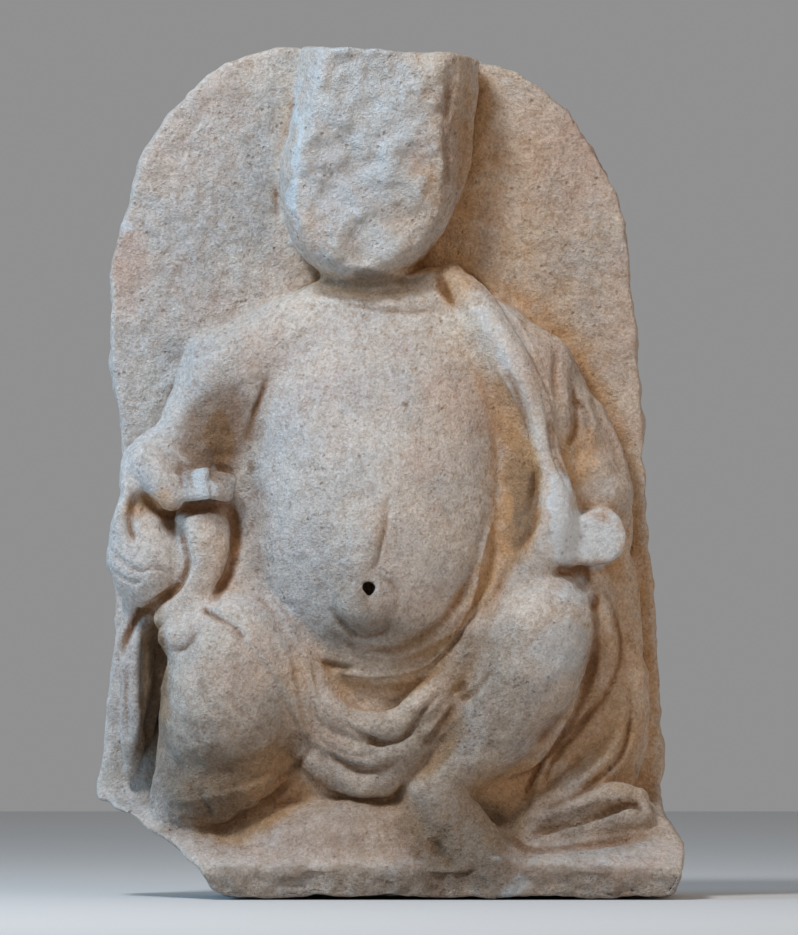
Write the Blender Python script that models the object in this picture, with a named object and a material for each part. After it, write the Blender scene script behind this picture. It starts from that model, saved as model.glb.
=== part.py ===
"""A round-topped stone relief panel: a seated, pot-bellied figure carved in high relief from one block.

The slab, the figure, its cloth and purse, and the foot ledge are one stone, so the model is one object.
Metres, +Z up. The figure faces -Y, the back of the slab is flat, and the panel stands on its flat underside.
"""

import math

import bmesh
import bpy
from mathutils import Matrix, Vector

# Driving sizes of the block, in metres.
PANEL_HEIGHT = 0.512
PANEL_WIDTH = 0.354
PANEL_DEPTH = 0.148
SLAB_THICKNESS = 0.050
LEDGE_REACH = 0.098
LEDGE_FRONT_HEIGHT = 0.0175
LEDGE_BACK_HEIGHT = 0.062
FACE_BREAK_OUT = 46
FACE_BREAK_REACH = 0.060
FACE_BREAK_LEAN = 2.0
NAVEL_HOLE_RADIUS = 0.0040
NAVEL_HOLE_DEPTH = 0.016

# The figure keeps its proportions: its forms are written in units of a 510th of its own height.
FIGURE_HEIGHT = 0.510
UNIT = FIGURE_HEIGHT / 510

# The fineness of the carving in the solid.
CARVING_GRAIN = 0.0032
SMOOTHING_PASSES = 3
DETAIL_KEPT = 0.074
SIDES_OF_A_FORM = 40
CAP_STEPS = 4
STEPS_BETWEEN_STATIONS = 5
WASTE = 0.006

FACE_Y = PANEL_DEPTH / 2 - SLAB_THICKNESS
STONE_COLOUR = (0.70, 0.62, 0.53, 1.0)


def clear_scene():
    for old in list(bpy.data.objects):
        bpy.data.objects.remove(old)


def place(across, out, up):
    """A point of the figure: across from the panel's middle, out from the slab's face, up from the foot."""
    return Vector((across * UNIT, FACE_Y - out * UNIT, up * UNIT))


def egg(stone, centre, radii, turn=0.0):
    """A rounded mass. Its radii run across, out and up; turn is in degrees, clockwise from the front."""
    size = Matrix.Diagonal((radii[0] * UNIT, radii[1] * UNIT, radii[2] * UNIT, 1))
    spin = Matrix.Rotation(math.radians(turn), 4, "Y")
    where = Matrix.Translation(place(*centre))
    bmesh.ops.create_uvsphere(stone, u_segments=32, v_segments=20, radius=1, matrix=where @ spin @ size)


def through(stations):
    """Stations on a smooth line through the given ones (Catmull-Rom)."""
    points = [Vector(station) for station in stations]
    ends = [2 * points[0] - points[1], *points, 2 * points[-1] - points[-2]]
    line = []
    for a, b, c, d in zip(ends, ends[1:], ends[2:], ends[3:]):
        for step in range(STEPS_BETWEEN_STATIONS):
            t = step / STEPS_BETWEEN_STATIONS
            line.append(
                0.5 * (2 * b + (c - a) * t + (2 * a - 5 * b + 4 * c - d) * t**2 + (3 * b - a - 3 * c + d) * t**3)
            )
    return [*line, points[-1]]


def ring(stone, centre, side, front):
    """One oval of vertices, spanned by its two half axes."""
    loop = []
    for corner in range(SIDES_OF_A_FORM):
        angle = math.tau * corner / SIDES_OF_A_FORM
        loop.append(stone.verts.new(centre + side * math.cos(angle) + front * math.sin(angle)))
    return loop


def skin(stone, loops):
    """Faces from each ring to the next, with the first and last ring closed."""
    for near, far in zip(loops, loops[1:]):
        for corner in range(SIDES_OF_A_FORM):
            other = (corner + 1) % SIDES_OF_A_FORM
            stone.faces.new((near[corner], near[other], far[other], far[corner]))
    stone.faces.new(list(reversed(loops[0])))
    stone.faces.new(loops[-1])


def limb(stone, *stations):
    """A tapering round form, such as an arm or a fold, through stations of (across, out, up, radius)."""
    line = through(stations)
    centres = [place(s[0], s[1], s[2]) for s in line]
    radii = [max(s[3], 1.0) * UNIT for s in line]
    first = (centres[1] - centres[0]).normalized()
    last = (centres[-1] - centres[-2]).normalized()
    rings = []
    for step in range(CAP_STEPS):
        angle = math.pi / 2 * (step + 0.5) / CAP_STEPS
        rings.append((centres[0] - first * radii[0] * math.cos(angle), radii[0] * math.sin(angle), first))
    for here, centre in enumerate(centres):
        before = centres[max(here - 1, 0)]
        after = centres[min(here + 1, len(centres) - 1)]
        rings.append((centre, radii[here], (after - before).normalized()))
    for step in reversed(range(CAP_STEPS)):
        angle = math.pi / 2 * (step + 0.5) / CAP_STEPS
        rings.append((centres[-1] + last * radii[-1] * math.cos(angle), radii[-1] * math.sin(angle), last))

    loops = []
    for centre, radius, along in rings:
        side = along.cross(Vector((0, 1, 0)))
        side = side.normalized() if side.length > 1e-6 else Vector((1, 0, 0))
        front = side.cross(along).normalized()
        loops.append(ring(stone, centre, side * radius, front * radius))
    skin(stone, loops)


def column(stone, *stations):
    """An upright rounded mass through level ovals of (across, out, up, half its width, half its depth)."""
    loops = []
    for across, out, up, half_width, half_depth in through(stations):
        side = Vector((max(half_width, 1.0) * UNIT, 0, 0))
        front = Vector((0, max(half_depth, 1.0) * UNIT, 0))
        loops.append(ring(stone, place(across, out, up), side, front))
    skin(stone, loops)


def arc(centre, radii, start, end, steps):
    """Points on a quarter of an ellipse in the panel's plane, from one angle to another in degrees."""
    points = []
    for step in range(steps + 1):
        angle = math.radians(start + (end - start) * step / steps)
        points.append((centre[0] + radii[0] * math.cos(angle), centre[1] + radii[1] * math.sin(angle)))
    return points


def outline():
    """The panel's outline seen from the front, as shares of half its width and of its height.

    It runs up the left side, over the round top with its flat broken crown, down the right side, along
    the foot, and up the broken lower left corner.
    """
    left_side = [(-1.00, 0.112), (-0.985, 0.175), (-0.968, 0.225), (-0.950, 0.290), (-0.942, 0.345)]
    purse_edge = [(-0.950, 0.373), (-0.976, 0.387), (-0.965, 0.416), (-0.950, 0.445), (-0.924, 0.473)]
    upper_left = [(-0.918, 0.504), (-0.925, 0.540), (-0.941, 0.585), (-0.958, 0.628), (-0.963, 0.683)]
    shoulder_left = [(-0.957, 0.728), (-0.926, 0.786)]
    left_arc = arc((-0.325, 0.757), (0.590, 0.243), 168, 90, 10)
    crown = [(-0.095, 0.999), (0.220, 0.991)]
    right_arc = arc((0.246, 0.704), (0.580, 0.284), 78, 6, 10)
    right_side = [(0.838, 0.706), (0.849, 0.655), (0.857, 0.573), (0.874, 0.510), (0.888, 0.439), (0.897, 0.371)]
    right_low = [(0.913, 0.331), (0.918, 0.286), (0.929, 0.233), (0.922, 0.204), (0.942, 0.170), (0.939, 0.148)]
    ledge_end = [(0.920, 0.132), (0.925, 0.110), (0.945, 0.090), (0.980, 0.076), (1.000, 0.060), (0.992, 0.022)]
    foot = [(0.965, 0.003), (0.950, 0.000), (-0.545, 0.000)]
    broken_corner = [(-0.605, 0.010), (-0.625, 0.022), (-0.655, 0.035), (-0.695, 0.047), (-0.745, 0.063)]
    broken_corner += [(-0.822, 0.078), (-0.862, 0.090), (-0.925, 0.102), (-0.955, 0.111)]
    runs = (left_side, purse_edge, upper_left, shoulder_left, left_arc, crown, right_arc)
    runs += (right_side, right_low, ledge_end, foot, broken_corner)
    return [(x * PANEL_WIDTH / 2, z * PANEL_HEIGHT) for run in runs for x, z in run]


def prism(stone, points, front, back):
    """A flat shape in the panel's plane, given thickness from front to back along Y."""
    near = [stone.verts.new((x, front, z)) for x, z in points]
    far = [stone.verts.new((x, back, z)) for x, z in points]
    stone.faces.new(near)
    stone.faces.new(list(reversed(far)))
    for here in range(len(points)):
        other = (here + 1) % len(points)
        stone.faces.new((near[other], near[here], far[here], far[other]))


def carve_slab(stone):
    """The slab, with some waste left all round it for the block's own faces to trim."""
    middle = PANEL_HEIGHT / 2
    grow_x = 1 + 2 * WASTE / PANEL_WIDTH
    grow_z = 1 + 2 * WASTE / PANEL_HEIGHT
    grown = [(x * grow_x, middle + (z - middle) * grow_z) for x, z in outline()]
    prism(stone, grown, FACE_Y, PANEL_DEPTH / 2 + WASTE)


def carve_ledge(stone):
    """The foot ledge slopes forward and down from the slab to a low upright front."""
    half = PANEL_WIDTH / 2 + WASTE
    slope = [
        (-WASTE, -WASTE),
        (-WASTE, LEDGE_BACK_HEIGHT),
        (LEDGE_REACH * 0.40, LEDGE_BACK_HEIGHT * 0.78),
        (LEDGE_REACH * 0.78, LEDGE_FRONT_HEIGHT * 1.70),
        (LEDGE_REACH, LEDGE_FRONT_HEIGHT),
        (LEDGE_REACH + WASTE, LEDGE_FRONT_HEIGHT * 0.85),
        (LEDGE_REACH + WASTE, -WASTE),
    ]
    left = [stone.verts.new((-half, FACE_Y - out, up)) for out, up in slope]
    right = [stone.verts.new((half, FACE_Y - out, up)) for out, up in slope]
    stone.faces.new(left)
    stone.faces.new(list(reversed(right)))
    for here in range(len(slope)):
        other = (here + 1) % len(slope)
        stone.faces.new((left[other], left[here], right[here], right[other]))
    egg(stone, (-25, 30, 30), (72, 56, 32))


def carve_head(stone):
    """The head, whose face is lost and whose crown is broken off level with the slab."""
    crown = ((1, 12, 524, 52, 52), (-5, 13, 473, 53, 53), (-10, 14, 446, 55, 55), (-12, 14, 424, 54, 54))
    chin = ((-14, 15, 402, 48, 48), (-16, 16, 386, 37, 38), (-16, 16, 374, 23, 25), (-16, 16, 367, 9, 10))
    column(stone, *reversed(chin), *reversed(crown))
    egg(stone, (-7, 10, 352), (38, 28, 26))


def carve_torso(stone):
    lower = ((-4, 12, 106, 8, 20), (-4, 12, 116, 25, 42), (-4, 12, 128, 41, 54))
    waist = ((-4, 13, 148, 57, 63), (-6, 14, 176, 72, 73))
    middle = ((-8, 14, 212, 81, 77), (-8, 14, 250, 81, 69), (-6, 14, 290, 77, 56))
    upper = ((-4, 13, 326, 72, 42), (-5, 12, 352, 58, 28), (-6, 12, 372, 34, 20))
    column(stone, *lower, *waist, *middle, *upper)
    limb(stone, (-20, 12, 350, 22), (-64, 14, 332, 27), (-98, 15, 313, 27))
    limb(stone, (16, 10, 352, 22), (58, 12, 334, 26), (84, 14, 314, 26))


def carve_navel(stone):
    """A worn boss under the navel, and the raised patch above it."""
    egg(stone, (-12, 82, 181), (20, 11, 19))
    limb(stone, (-5, 82, 224, 6), (-14, 84, 206, 7), (-19, 83, 196, 6))


def carve_purse_arm(stone):
    """The figure's right arm, its hand, and the purse it holds at the panel's left edge."""
    limb(stone, (-97, 16, 315, 27), (-109, 22, 289, 27), (-120, 28, 263, 24))
    limb(stone, (-118, 14, 250, 26), (-126, 14, 200, 28), (-138, 12, 164, 16))
    limb(stone, (-86, 20, 306, 20), (-93, 24, 268, 20), (-94, 24, 240, 18))
    limb(stone, (-126, 34, 272, 18), (-146, 36, 256, 19), (-155, 36, 232, 19))
    limb(stone, (-155, 36, 232, 19), (-154, 36, 208, 18), (-148, 36, 190, 15))
    egg(stone, (-146, 38, 200), (22, 20, 26))
    limb(stone, (-114, 42, 228, 16), (-111, 42, 206, 18), (-117, 42, 184, 16), (-131, 40, 167, 11))
    limb(stone, (-144, 48, 263, 12), (-138, 53, 251, 11), (-135, 54, 242, 10))
    limb(stone, (-138, 44, 271, 9), (-126, 47, 260, 9), (-116, 46, 256, 8))
    limb(stone, (-120, 55, 247, 10), (-107, 55, 247, 9))
    egg(stone, (-129, 56, 157), (11, 10, 9))
    limb(stone, (-94, 24, 246, 16), (-92, 28, 212, 20), (-90, 32, 192, 18))


def carve_hanging_end(stone):
    """The tail of cloth that hangs from the purse hand beside the thigh."""
    limb(stone, (-153, 24, 178, 9), (-154, 24, 140, 9), (-154, 16, 100, 8), (-156, 8, 78, 5))
    limb(stone, (-143, 16, 170, 8), (-144, 14, 130, 8), (-149, 8, 100, 6))
    limb(stone, (-149, 9, 178, 13), (-151, 9, 140, 12), (-153, 4, 100, 8))


def carve_folded_leg(stone):
    """The figure's right leg, folded with its knee out to the panel's left and its foot tucked under."""
    limb(stone, (-38, 32, 108, 28), (-64, 38, 130, 36), (-90, 42, 144, 38))
    limb(stone, (-92, 44, 142, 38), (-97, 48, 118, 41), (-98, 46, 106, 39))
    egg(stone, (-100, 34, 67), (42, 40, 27), turn=-25)
    limb(stone, (-106, 8, 178, 31), (-98, 8, 124, 37), (-76, 8, 106, 26))


def carve_raised_leg(stone):
    """The figure's left leg, its knee raised at the panel's right and its shin running down to the middle."""
    limb(stone, (66, 32, 146, 34), (88, 44, 162, 34))
    egg(stone, (93, 44, 162), (32, 38, 35))
    limb(stone, (86, 50, 154, 35), (78, 52, 132, 34), (64, 54, 106, 27), (48, 54, 86, 21), (28, 54, 66, 18))
    limb(stone, (92, 16, 152, 32), (64, 18, 104, 28), (32, 20, 70, 22))
    limb(stone, (26, 54, 62, 18), (40, 64, 42, 19), (56, 74, 24, 19))
    egg(stone, (60, 82, 18), (22, 15, 13))


def carve_lap_cloth(stone):
    """Bands of cloth that sag between the thighs, under the belly."""
    egg(stone, (-8, 28, 104), (50, 34, 40))
    limb(stone, (-72, 30, 78, 22), (-24, 36, 68, 18), (20, 36, 70, 20))
    limb(stone, (-66, 6, 84, 26), (-26, 8, 72, 22), (24, 8, 70, 22))
    limb(stone, (-66, 46, 156, 10), (-44, 58, 120, 10), (-20, 64, 104, 9), (4, 66, 105, 9), (17, 66, 114, 9))
    limb(stone, (17, 66, 114, 9), (32, 64, 130, 9), (48, 60, 150, 10), (62, 56, 174, 9))
    limb(stone, (10, 40, 116, 20), (34, 44, 136, 20), (56, 44, 166, 18), (70, 38, 196, 20))
    limb(stone, (-56, 50, 126, 9), (-44, 56, 100, 9), (-24, 62, 87, 9), (-4, 64, 85, 9), (12, 64, 91, 9))
    limb(stone, (12, 64, 91, 9), (26, 62, 104, 9), (40, 58, 120, 9))
    limb(stone, (-58, 42, 104, 9), (-50, 50, 90, 10), (-40, 54, 79, 10), (-22, 58, 71, 10), (-6, 58, 71, 10))
    limb(stone, (-6, 58, 71, 10), (6, 58, 79, 10), (18, 58, 92, 10), (30, 56, 106, 9))
    limb(stone, (-78, 42, 186, 8), (-54, 58, 148, 8), (-42, 58, 112, 8))
    limb(stone, (-99, 46, 178, 8), (-66, 66, 138, 8), (-52, 60, 104, 8))


def carve_trailing_cloth(stone):
    """Cloth that falls from the raised knee down the panel's right side to a folded hem on the ledge."""
    egg(stone, (120, 12, 108), (36, 28, 62))
    limb(stone, (118, 34, 190, 14), (126, 32, 160, 13), (124, 31, 130, 12), (106, 34, 102, 11))
    limb(stone, (110, 32, 152, 13), (108, 34, 128, 14), (92, 38, 102, 14), (72, 40, 82, 12))
    limb(stone, (134, 12, 200, 13), (138, 12, 164, 14), (140, 14, 136, 12))
    limb(stone, (146, 16, 134, 9), (141, 22, 102, 12), (126, 32, 78, 13), (102, 42, 58, 12), (84, 48, 42, 10))
    egg(stone, (120, 32, 48), (42, 22, 21))
    limb(stone, (112, 26, 110, 16), (96, 28, 84, 15), (82, 32, 58, 13))
    limb(stone, (36, 32, 58, 18), (50, 32, 64, 21), (70, 32, 58, 18), (84, 34, 40, 13))
    limb(stone, (84, 50, 41, 7), (110, 52, 54, 8), (134, 49, 61, 8), (148, 44, 58, 8))
    limb(stone, (88, 57, 33, 7), (118, 56, 40, 8), (150, 50, 45, 8))


def carve_covered_arm(stone):
    """The figure's left arm under its cloth, the hand, and the scarf edge that runs from neck to knee."""
    limb(stone, (84, 14, 314, 26), (98, 11, 290, 27), (108, 10, 266, 27), (117, 14, 242, 25), (114, 16, 216, 24))
    limb(stone, (28, 18, 364, 14), (60, 26, 334, 20), (84, 30, 300, 20), (94, 34, 262, 19), (98, 36, 226, 18))
    limb(stone, (72, 24, 300, 18), (78, 24, 262, 20), (80, 32, 216, 24))
    limb(stone, (37, 18, 374, 7), (52, 34, 357, 10), (70, 46, 330, 11), (85, 53, 299, 10), (93, 57, 272, 8))
    limb(stone, (93, 57, 272, 8), (98, 59, 246, 11), (96, 58, 222, 15), (84, 56, 196, 12), (72, 54, 182, 8))
    limb(stone, (118, 28, 252, 16), (129, 27, 243, 16))
    limb(stone, (104, 44, 226, 13), (104, 45, 210, 14))
    limb(stone, (66, 6, 196, 26), (96, 8, 192, 26), (124, 8, 188, 24))
    egg(stone, (118, 42, 216), (23, 16, 20))
    limb(stone, (99, 22, 324, 7), (103, 32, 298, 8), (104, 32, 276, 6))
    limb(stone, (114, 22, 298, 6), (118, 26, 280, 6), (116, 26, 264, 5))
    limb(stone, (122, 13, 292, 7), (132, 14, 268, 8), (138, 15, 244, 8), (138, 16, 212, 8))


def stone_material():
    material = bpy.data.materials.new("limestone")
    material.use_nodes = True
    shader = material.node_tree.nodes["Principled BSDF"]
    shader.inputs["Base Color"].default_value = STONE_COLOUR
    shader.inputs["Roughness"].default_value = 0.92
    shader.inputs["Metallic"].default_value = 0.0
    return material


def add_object(name, stone):
    bmesh.ops.recalc_face_normals(stone, faces=stone.faces)
    mesh = bpy.data.meshes.new(name)
    stone.to_mesh(mesh)
    stone.free()
    made = bpy.data.objects.new(name, mesh)
    bpy.context.scene.collection.objects.link(made)
    return made


def helper(made):
    made.hide_render = True
    made.display_type = "WIRE"
    return made


def quarry_block():
    """The block's own faces: its outline, flat back, flat foot and front. They trim the carving."""
    stone = bmesh.new()
    prism(stone, outline(), -PANEL_DEPTH / 2, PANEL_DEPTH / 2)
    return helper(add_object("block_faces", stone))


def navel_drill():
    """The drilled hole at the navel."""
    stone = bmesh.new()
    length = NAVEL_HOLE_DEPTH * 2
    mouth = place(-13, 90, 186)
    where = Matrix.Translation(mouth) @ Matrix.Rotation(math.pi / 2, 4, "X")
    bmesh.ops.create_cone(
        stone,
        cap_ends=True,
        segments=12,
        radius1=NAVEL_HOLE_RADIUS,
        radius2=NAVEL_HOLE_RADIUS,
        depth=length,
        matrix=where,
    )
    return helper(add_object("navel_drill", stone))


def face_break():
    """What broke away in front of the face, from the crown to the chin."""
    stone = bmesh.new()
    size = Matrix.Diagonal((130 * UNIT, FACE_BREAK_REACH, 175 * UNIT, 1))
    lean = Matrix.Rotation(math.radians(FACE_BREAK_LEAN), 4, "X")
    where = Matrix.Translation(place(-10, FACE_BREAK_OUT, 452) - Vector((0, FACE_BREAK_REACH / 2, 0)))
    bmesh.ops.create_cube(stone, size=1, matrix=where @ lean @ size)
    return helper(add_object("face_break", stone))


def relief_panel():
    stone = bmesh.new()
    carve_slab(stone)
    carve_ledge(stone)
    carve_head(stone)
    carve_torso(stone)
    carve_navel(stone)
    carve_purse_arm(stone)
    carve_hanging_end(stone)
    carve_folded_leg(stone)
    carve_raised_leg(stone)
    carve_lap_cloth(stone)
    carve_trailing_cloth(stone)
    carve_covered_arm(stone)
    panel = add_object("relief_panel", stone)
    panel.data.materials.append(stone_material())

    joined = panel.modifiers.new("one_stone", "REMESH")
    joined.mode = "VOXEL"
    joined.voxel_size = CARVING_GRAIN
    worn = panel.modifiers.new("worn", "SMOOTH")
    worn.factor = 0.5
    worn.iterations = SMOOTHING_PASSES
    facets = panel.modifiers.new("facets", "DECIMATE")
    facets.ratio = DETAIL_KEPT
    trimmed = panel.modifiers.new("block_faces", "BOOLEAN")
    trimmed.operation = "INTERSECT"
    trimmed.solver = "EXACT"
    trimmed.object = quarry_block()
    broken = panel.modifiers.new("face_break", "BOOLEAN")
    broken.operation = "DIFFERENCE"
    broken.solver = "EXACT"
    broken.object = face_break()
    drilled = panel.modifiers.new("navel", "BOOLEAN")
    drilled.operation = "DIFFERENCE"
    drilled.solver = "EXACT"
    drilled.object = navel_drill()
    return panel


clear_scene()
relief_panel()
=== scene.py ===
# %% [markdown]
# # A stone panel carved in high relief
#
# The real object is one block of pale, coarse stone. A carver left a round-topped slab at the back and cut a
# seated figure, its cloth and a foot ledge out of the front. Later the face, the crown and one lower corner
# broke away, and weather rounded what was left. These cells make that stone again: first its big masses, then
# the cuts and creases, then the wear, and last the material and the light.

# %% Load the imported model
import itertools
import math

import bpy
import numpy as np
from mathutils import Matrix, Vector


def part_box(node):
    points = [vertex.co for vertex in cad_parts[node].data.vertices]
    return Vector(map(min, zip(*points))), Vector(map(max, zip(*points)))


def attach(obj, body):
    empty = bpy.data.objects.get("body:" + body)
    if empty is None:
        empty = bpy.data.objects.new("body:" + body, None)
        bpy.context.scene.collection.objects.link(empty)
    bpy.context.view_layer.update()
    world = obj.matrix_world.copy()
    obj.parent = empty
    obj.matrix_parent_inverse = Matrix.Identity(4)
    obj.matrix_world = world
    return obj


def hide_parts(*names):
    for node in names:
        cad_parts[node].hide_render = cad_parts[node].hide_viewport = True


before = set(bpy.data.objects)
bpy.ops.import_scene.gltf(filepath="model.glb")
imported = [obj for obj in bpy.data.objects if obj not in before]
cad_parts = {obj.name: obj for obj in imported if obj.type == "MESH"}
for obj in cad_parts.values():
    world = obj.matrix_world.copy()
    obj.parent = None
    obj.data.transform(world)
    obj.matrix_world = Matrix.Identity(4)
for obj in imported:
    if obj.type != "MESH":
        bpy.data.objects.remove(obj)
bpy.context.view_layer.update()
low, high = (np.array(corner) * 1000 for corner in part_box("relief_panel"))
print("the packed stone, mm:", np.round(high - low, 1))

# %% [markdown]
# ## The camera
#
# The photograph looks straight at the panel from far away, so edges that run towards the viewer hardly
# shrink. A long lens at a long distance gives the same flat view.

# %% Camera
CAMERA_PLACE = (0.0054, -12.0, 0.2583)
LENS_MM = 767.5
camera = bpy.data.objects.new("camera", bpy.data.cameras.new("camera"))
bpy.context.scene.collection.objects.link(camera)
camera.location = CAMERA_PLACE
camera.rotation_euler = (math.pi / 2, 0, 0)
camera.data.sensor_width = 36
camera.data.lens = LENS_MM
bpy.context.scene.camera = camera
print("camera at", CAMERA_PLACE, "lens", LENS_MM, "mm")

# %% [markdown]
# ## A block of stone as a field of distances
#
# Carved stone has no clean joints: an arm runs into a shoulder and a fold sinks into a thigh. Such forms are
# awkward to cut from faces, but easy as distances. Every small cell of the block holds how far it is from
# the stone's surface, below zero inside. Joining two masses is then the smaller of two distances, cutting
# one away is the larger of one and the other's opposite, and a little blending between them gives the worn,
# rounded creases of old stone.
#
# Positions are in millimetres: across from the panel's middle, out from the slab's face, up from its foot.

# %% The grid of the block
GRAIN = 1.6
SLAB_THICKNESS = 50.0
SPARE = 5.0
FACE = high[1] - SLAB_THICKNESS
HALF_WIDTH, HEIGHT, REACH = high[0], high[2], FACE - low[1]

across = np.arange(low[0] - SPARE, high[0] + SPARE, GRAIN, dtype=np.float32)
out = np.arange(-SLAB_THICKNESS - SPARE, REACH + SPARE, GRAIN, dtype=np.float32)
up = np.arange(low[2] - SPARE, high[2] + SPARE, GRAIN, dtype=np.float32)
stone = np.broadcast_to(out[None, :, None], (len(across), len(out), len(up))).copy()
print("cells:", stone.shape, f"{stone.size / 1e6:.1f} million")


# %% Work on a part of the block
def window(lowest, highest, spare):
    """The slices of the grid around a box, and the coordinates in them."""
    cuts = []
    for axis, a, b in zip((across, out, up), lowest, highest):
        first, last = np.searchsorted(axis, (a - spare, b + spare))
        cuts.append(slice(int(first), int(last)))
    a = across[cuts[0]][:, None, None]
    o = out[cuts[1]][None, :, None]
    u = up[cuts[2]][None, None, :]
    return tuple(cuts), a, o, u


def around(centre, half, soft):
    """The window around a form, and the coordinates in it counted from the form's centre."""
    lowest = [c - h for c, h in zip(centre, half)]
    highest = [c + h for c, h in zip(centre, half)]
    place, a, o, u = window(lowest, highest, soft + 2 * GRAIN)
    return place, a - centre[0], o - centre[1], u - centre[2]


def softened(gap, soft):
    """How far a soft crease or edge reaches over the sharp one, where two surfaces are a gap apart."""
    near = np.maximum(soft - np.abs(gap), 0)
    return near * near / (4 * soft)


def join(place, form, soft):
    """Adds a form to the stone, with a soft crease where the two meet."""
    old = stone[place]
    stone[place] = np.minimum(old, form) - softened(old - form, soft)


def cut(place, form, soft):
    """Takes a form out of the stone, with a soft edge."""
    old = stone[place]
    stone[place] = np.maximum(old, -form) + softened(old + form, soft)


# %% [markdown]
# ## Three kinds of mass
#
# An egg is a plain swelling, such as a knee. A limb runs through stations of changing thickness, such as an
# arm or a roll of cloth. A column is a stack of level ovals, such as a torso. With these three the whole
# figure can be blocked out, much as a sculptor would in clay.

# %% Egg, limb and column
STEPS = 4


def through(stations):
    """Stations on a smooth line through the given ones."""
    points = np.array(stations, dtype=float)
    ends = np.vstack([2 * points[0] - points[1], points, 2 * points[-1] - points[-2]])
    line = []
    for a, b, c, d in zip(ends, ends[1:], ends[2:], ends[3:]):
        bend, turn = 2 * a - 5 * b + 4 * c - d, 3 * b - a - 3 * c + d
        for t in np.arange(STEPS) / STEPS:
            line.append(0.5 * (2 * b + (c - a) * t + bend * t**2 + turn * t**3))
    return np.array([*line, points[-1]])


def turned(a, b, degrees):
    """Two coordinates, turned by an angle."""
    angle = math.radians(degrees)
    return a * math.cos(angle) - b * math.sin(angle), a * math.sin(angle) + b * math.cos(angle)


def oval(offsets, radii):
    """Nearly the distance from an oval, for offsets from its centre."""
    share = np.sqrt(sum((v / r) ** 2 for v, r in zip(offsets, radii)))
    slope = np.sqrt(sum((v / r**2) ** 2 for v, r in zip(offsets, radii)))
    return share * (share - 1) / np.maximum(slope, 1e-6)


def egg(centre, radii, turn=0.0, soft=5.0):
    """A rounded mass. Its radii run across, out and up; turn is in degrees, clockwise from the front."""
    reach = max(radii[0], radii[2]) if turn else 0
    size = (max(radii[0], reach), radii[1], max(radii[2], reach))
    place, a, o, u = around(centre, size, soft)
    a, u = turned(a, u, turn)
    join(place, oval((a, o, u), radii), soft)


def limb(*stations, soft=4.0, work=join):
    """A tapering round form through stations of (across, out, up, radius)."""
    line = through(stations)
    line[:, 3] = np.maximum(line[:, 3], 1.0)
    lowest = (line[:, :3] - line[:, 3:]).min(axis=0)
    highest = (line[:, :3] + line[:, 3:]).max(axis=0)
    whole, *_ = window(lowest, highest, soft + 2 * GRAIN)
    form = np.full([s.stop - s.start for s in whole], 99.0, dtype=np.float32)
    for a, b in zip(line, line[1:]):
        lowest = np.minimum(a[:3] - a[3], b[:3] - b[3])
        highest = np.maximum(a[:3] + a[3], b[:3] + b[3])
        place, x, y, z = window(lowest, highest, soft + 2 * GRAIN)
        run = b[:3] - a[:3]
        x, y, z = x - a[0], y - a[1], z - a[2]
        t = np.clip((x * run[0] + y * run[1] + z * run[2]) / max(run @ run, 1e-6), 0, 1)
        gap = np.sqrt((x - t * run[0]) ** 2 + (y - t * run[1]) ** 2 + (z - t * run[2]) ** 2)
        local = tuple(slice(p.start - w.start, p.stop - w.start) for p, w in zip(place, whole))
        form[local] = np.minimum(form[local], gap - (a[3] + t * (b[3] - a[3])))
    work(whole, form, soft)


def column(*stations, soft=5.0):
    """An upright mass through level ovals of (across, out, up, half its width, half its depth)."""
    line = through(stations)
    lowest = (line[:, 0] - line[:, 3]).min(), (line[:, 1] - line[:, 4]).min(), line[0, 2]
    highest = (line[:, 0] + line[:, 3]).max(), (line[:, 1] + line[:, 4]).max(), line[-1, 2]
    place, a, o, u = window(lowest, highest, soft + 2 * GRAIN)
    middle_a, middle_o, wide, deep = (np.interp(u, line[:, 2], line[:, c]) for c in (0, 1, 3, 4))
    form = oval((a - middle_a, o - middle_o), (wide, deep))
    beyond_ends = np.maximum(line[0, 2] - u, u - line[-1, 2])
    join(place, np.maximum(form, beyond_ends).astype(np.float32), soft)


# %% [markdown]
# ## Broken lumps and flat ends
#
# A few places aren't rounded at all: a broken lump has flat faces, and the end of the mantle is a flat disc.
# Their distances are simple too, because a box or a disc is only a few straight limits with a small radius
# on its edges.

# %% Lump and disc
def boxed(limits, edge):
    """The distance from a form given by how far each of its limits is passed."""
    limits = np.broadcast_arrays(*[limit + edge for limit in limits])
    beyond_all = np.sqrt(sum(np.maximum(limit, 0) ** 2 for limit in limits))
    return beyond_all + np.minimum(np.maximum.reduce(limits), 0) - edge


def lump(centre, half, turn=0.0, swing=0.0, edge=1.5, soft=2.0):
    """A squared form. Turn is its angle seen from the front, and swing the one seen from above."""
    place, a, o, u = around(centre, [sum(half)] * 3, soft)
    a, u = turned(a, u, turn)
    a, o = turned(a, o, swing)
    limits = [np.abs(v) - h for v, h in zip((a, o, u), half)]
    join(place, boxed(limits, edge).astype(np.float32), soft)


def disc(centre, radius, half_depth, edge=2.0, soft=3.0):
    """A flat round form that faces the viewer."""
    place, a, o, u = around(centre, [radius + half_depth] * 3, soft)
    limits = (np.hypot(a, u) - radius, np.abs(o) - half_depth)
    join(place, boxed(limits, edge).astype(np.float32), soft)


# %% [markdown]
# ## The foot ledge
#
# The figure squats on a ledge that slopes forward from the slab to a low front edge. Its section is the same
# all along, so one line of height against reach describes it.

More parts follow.
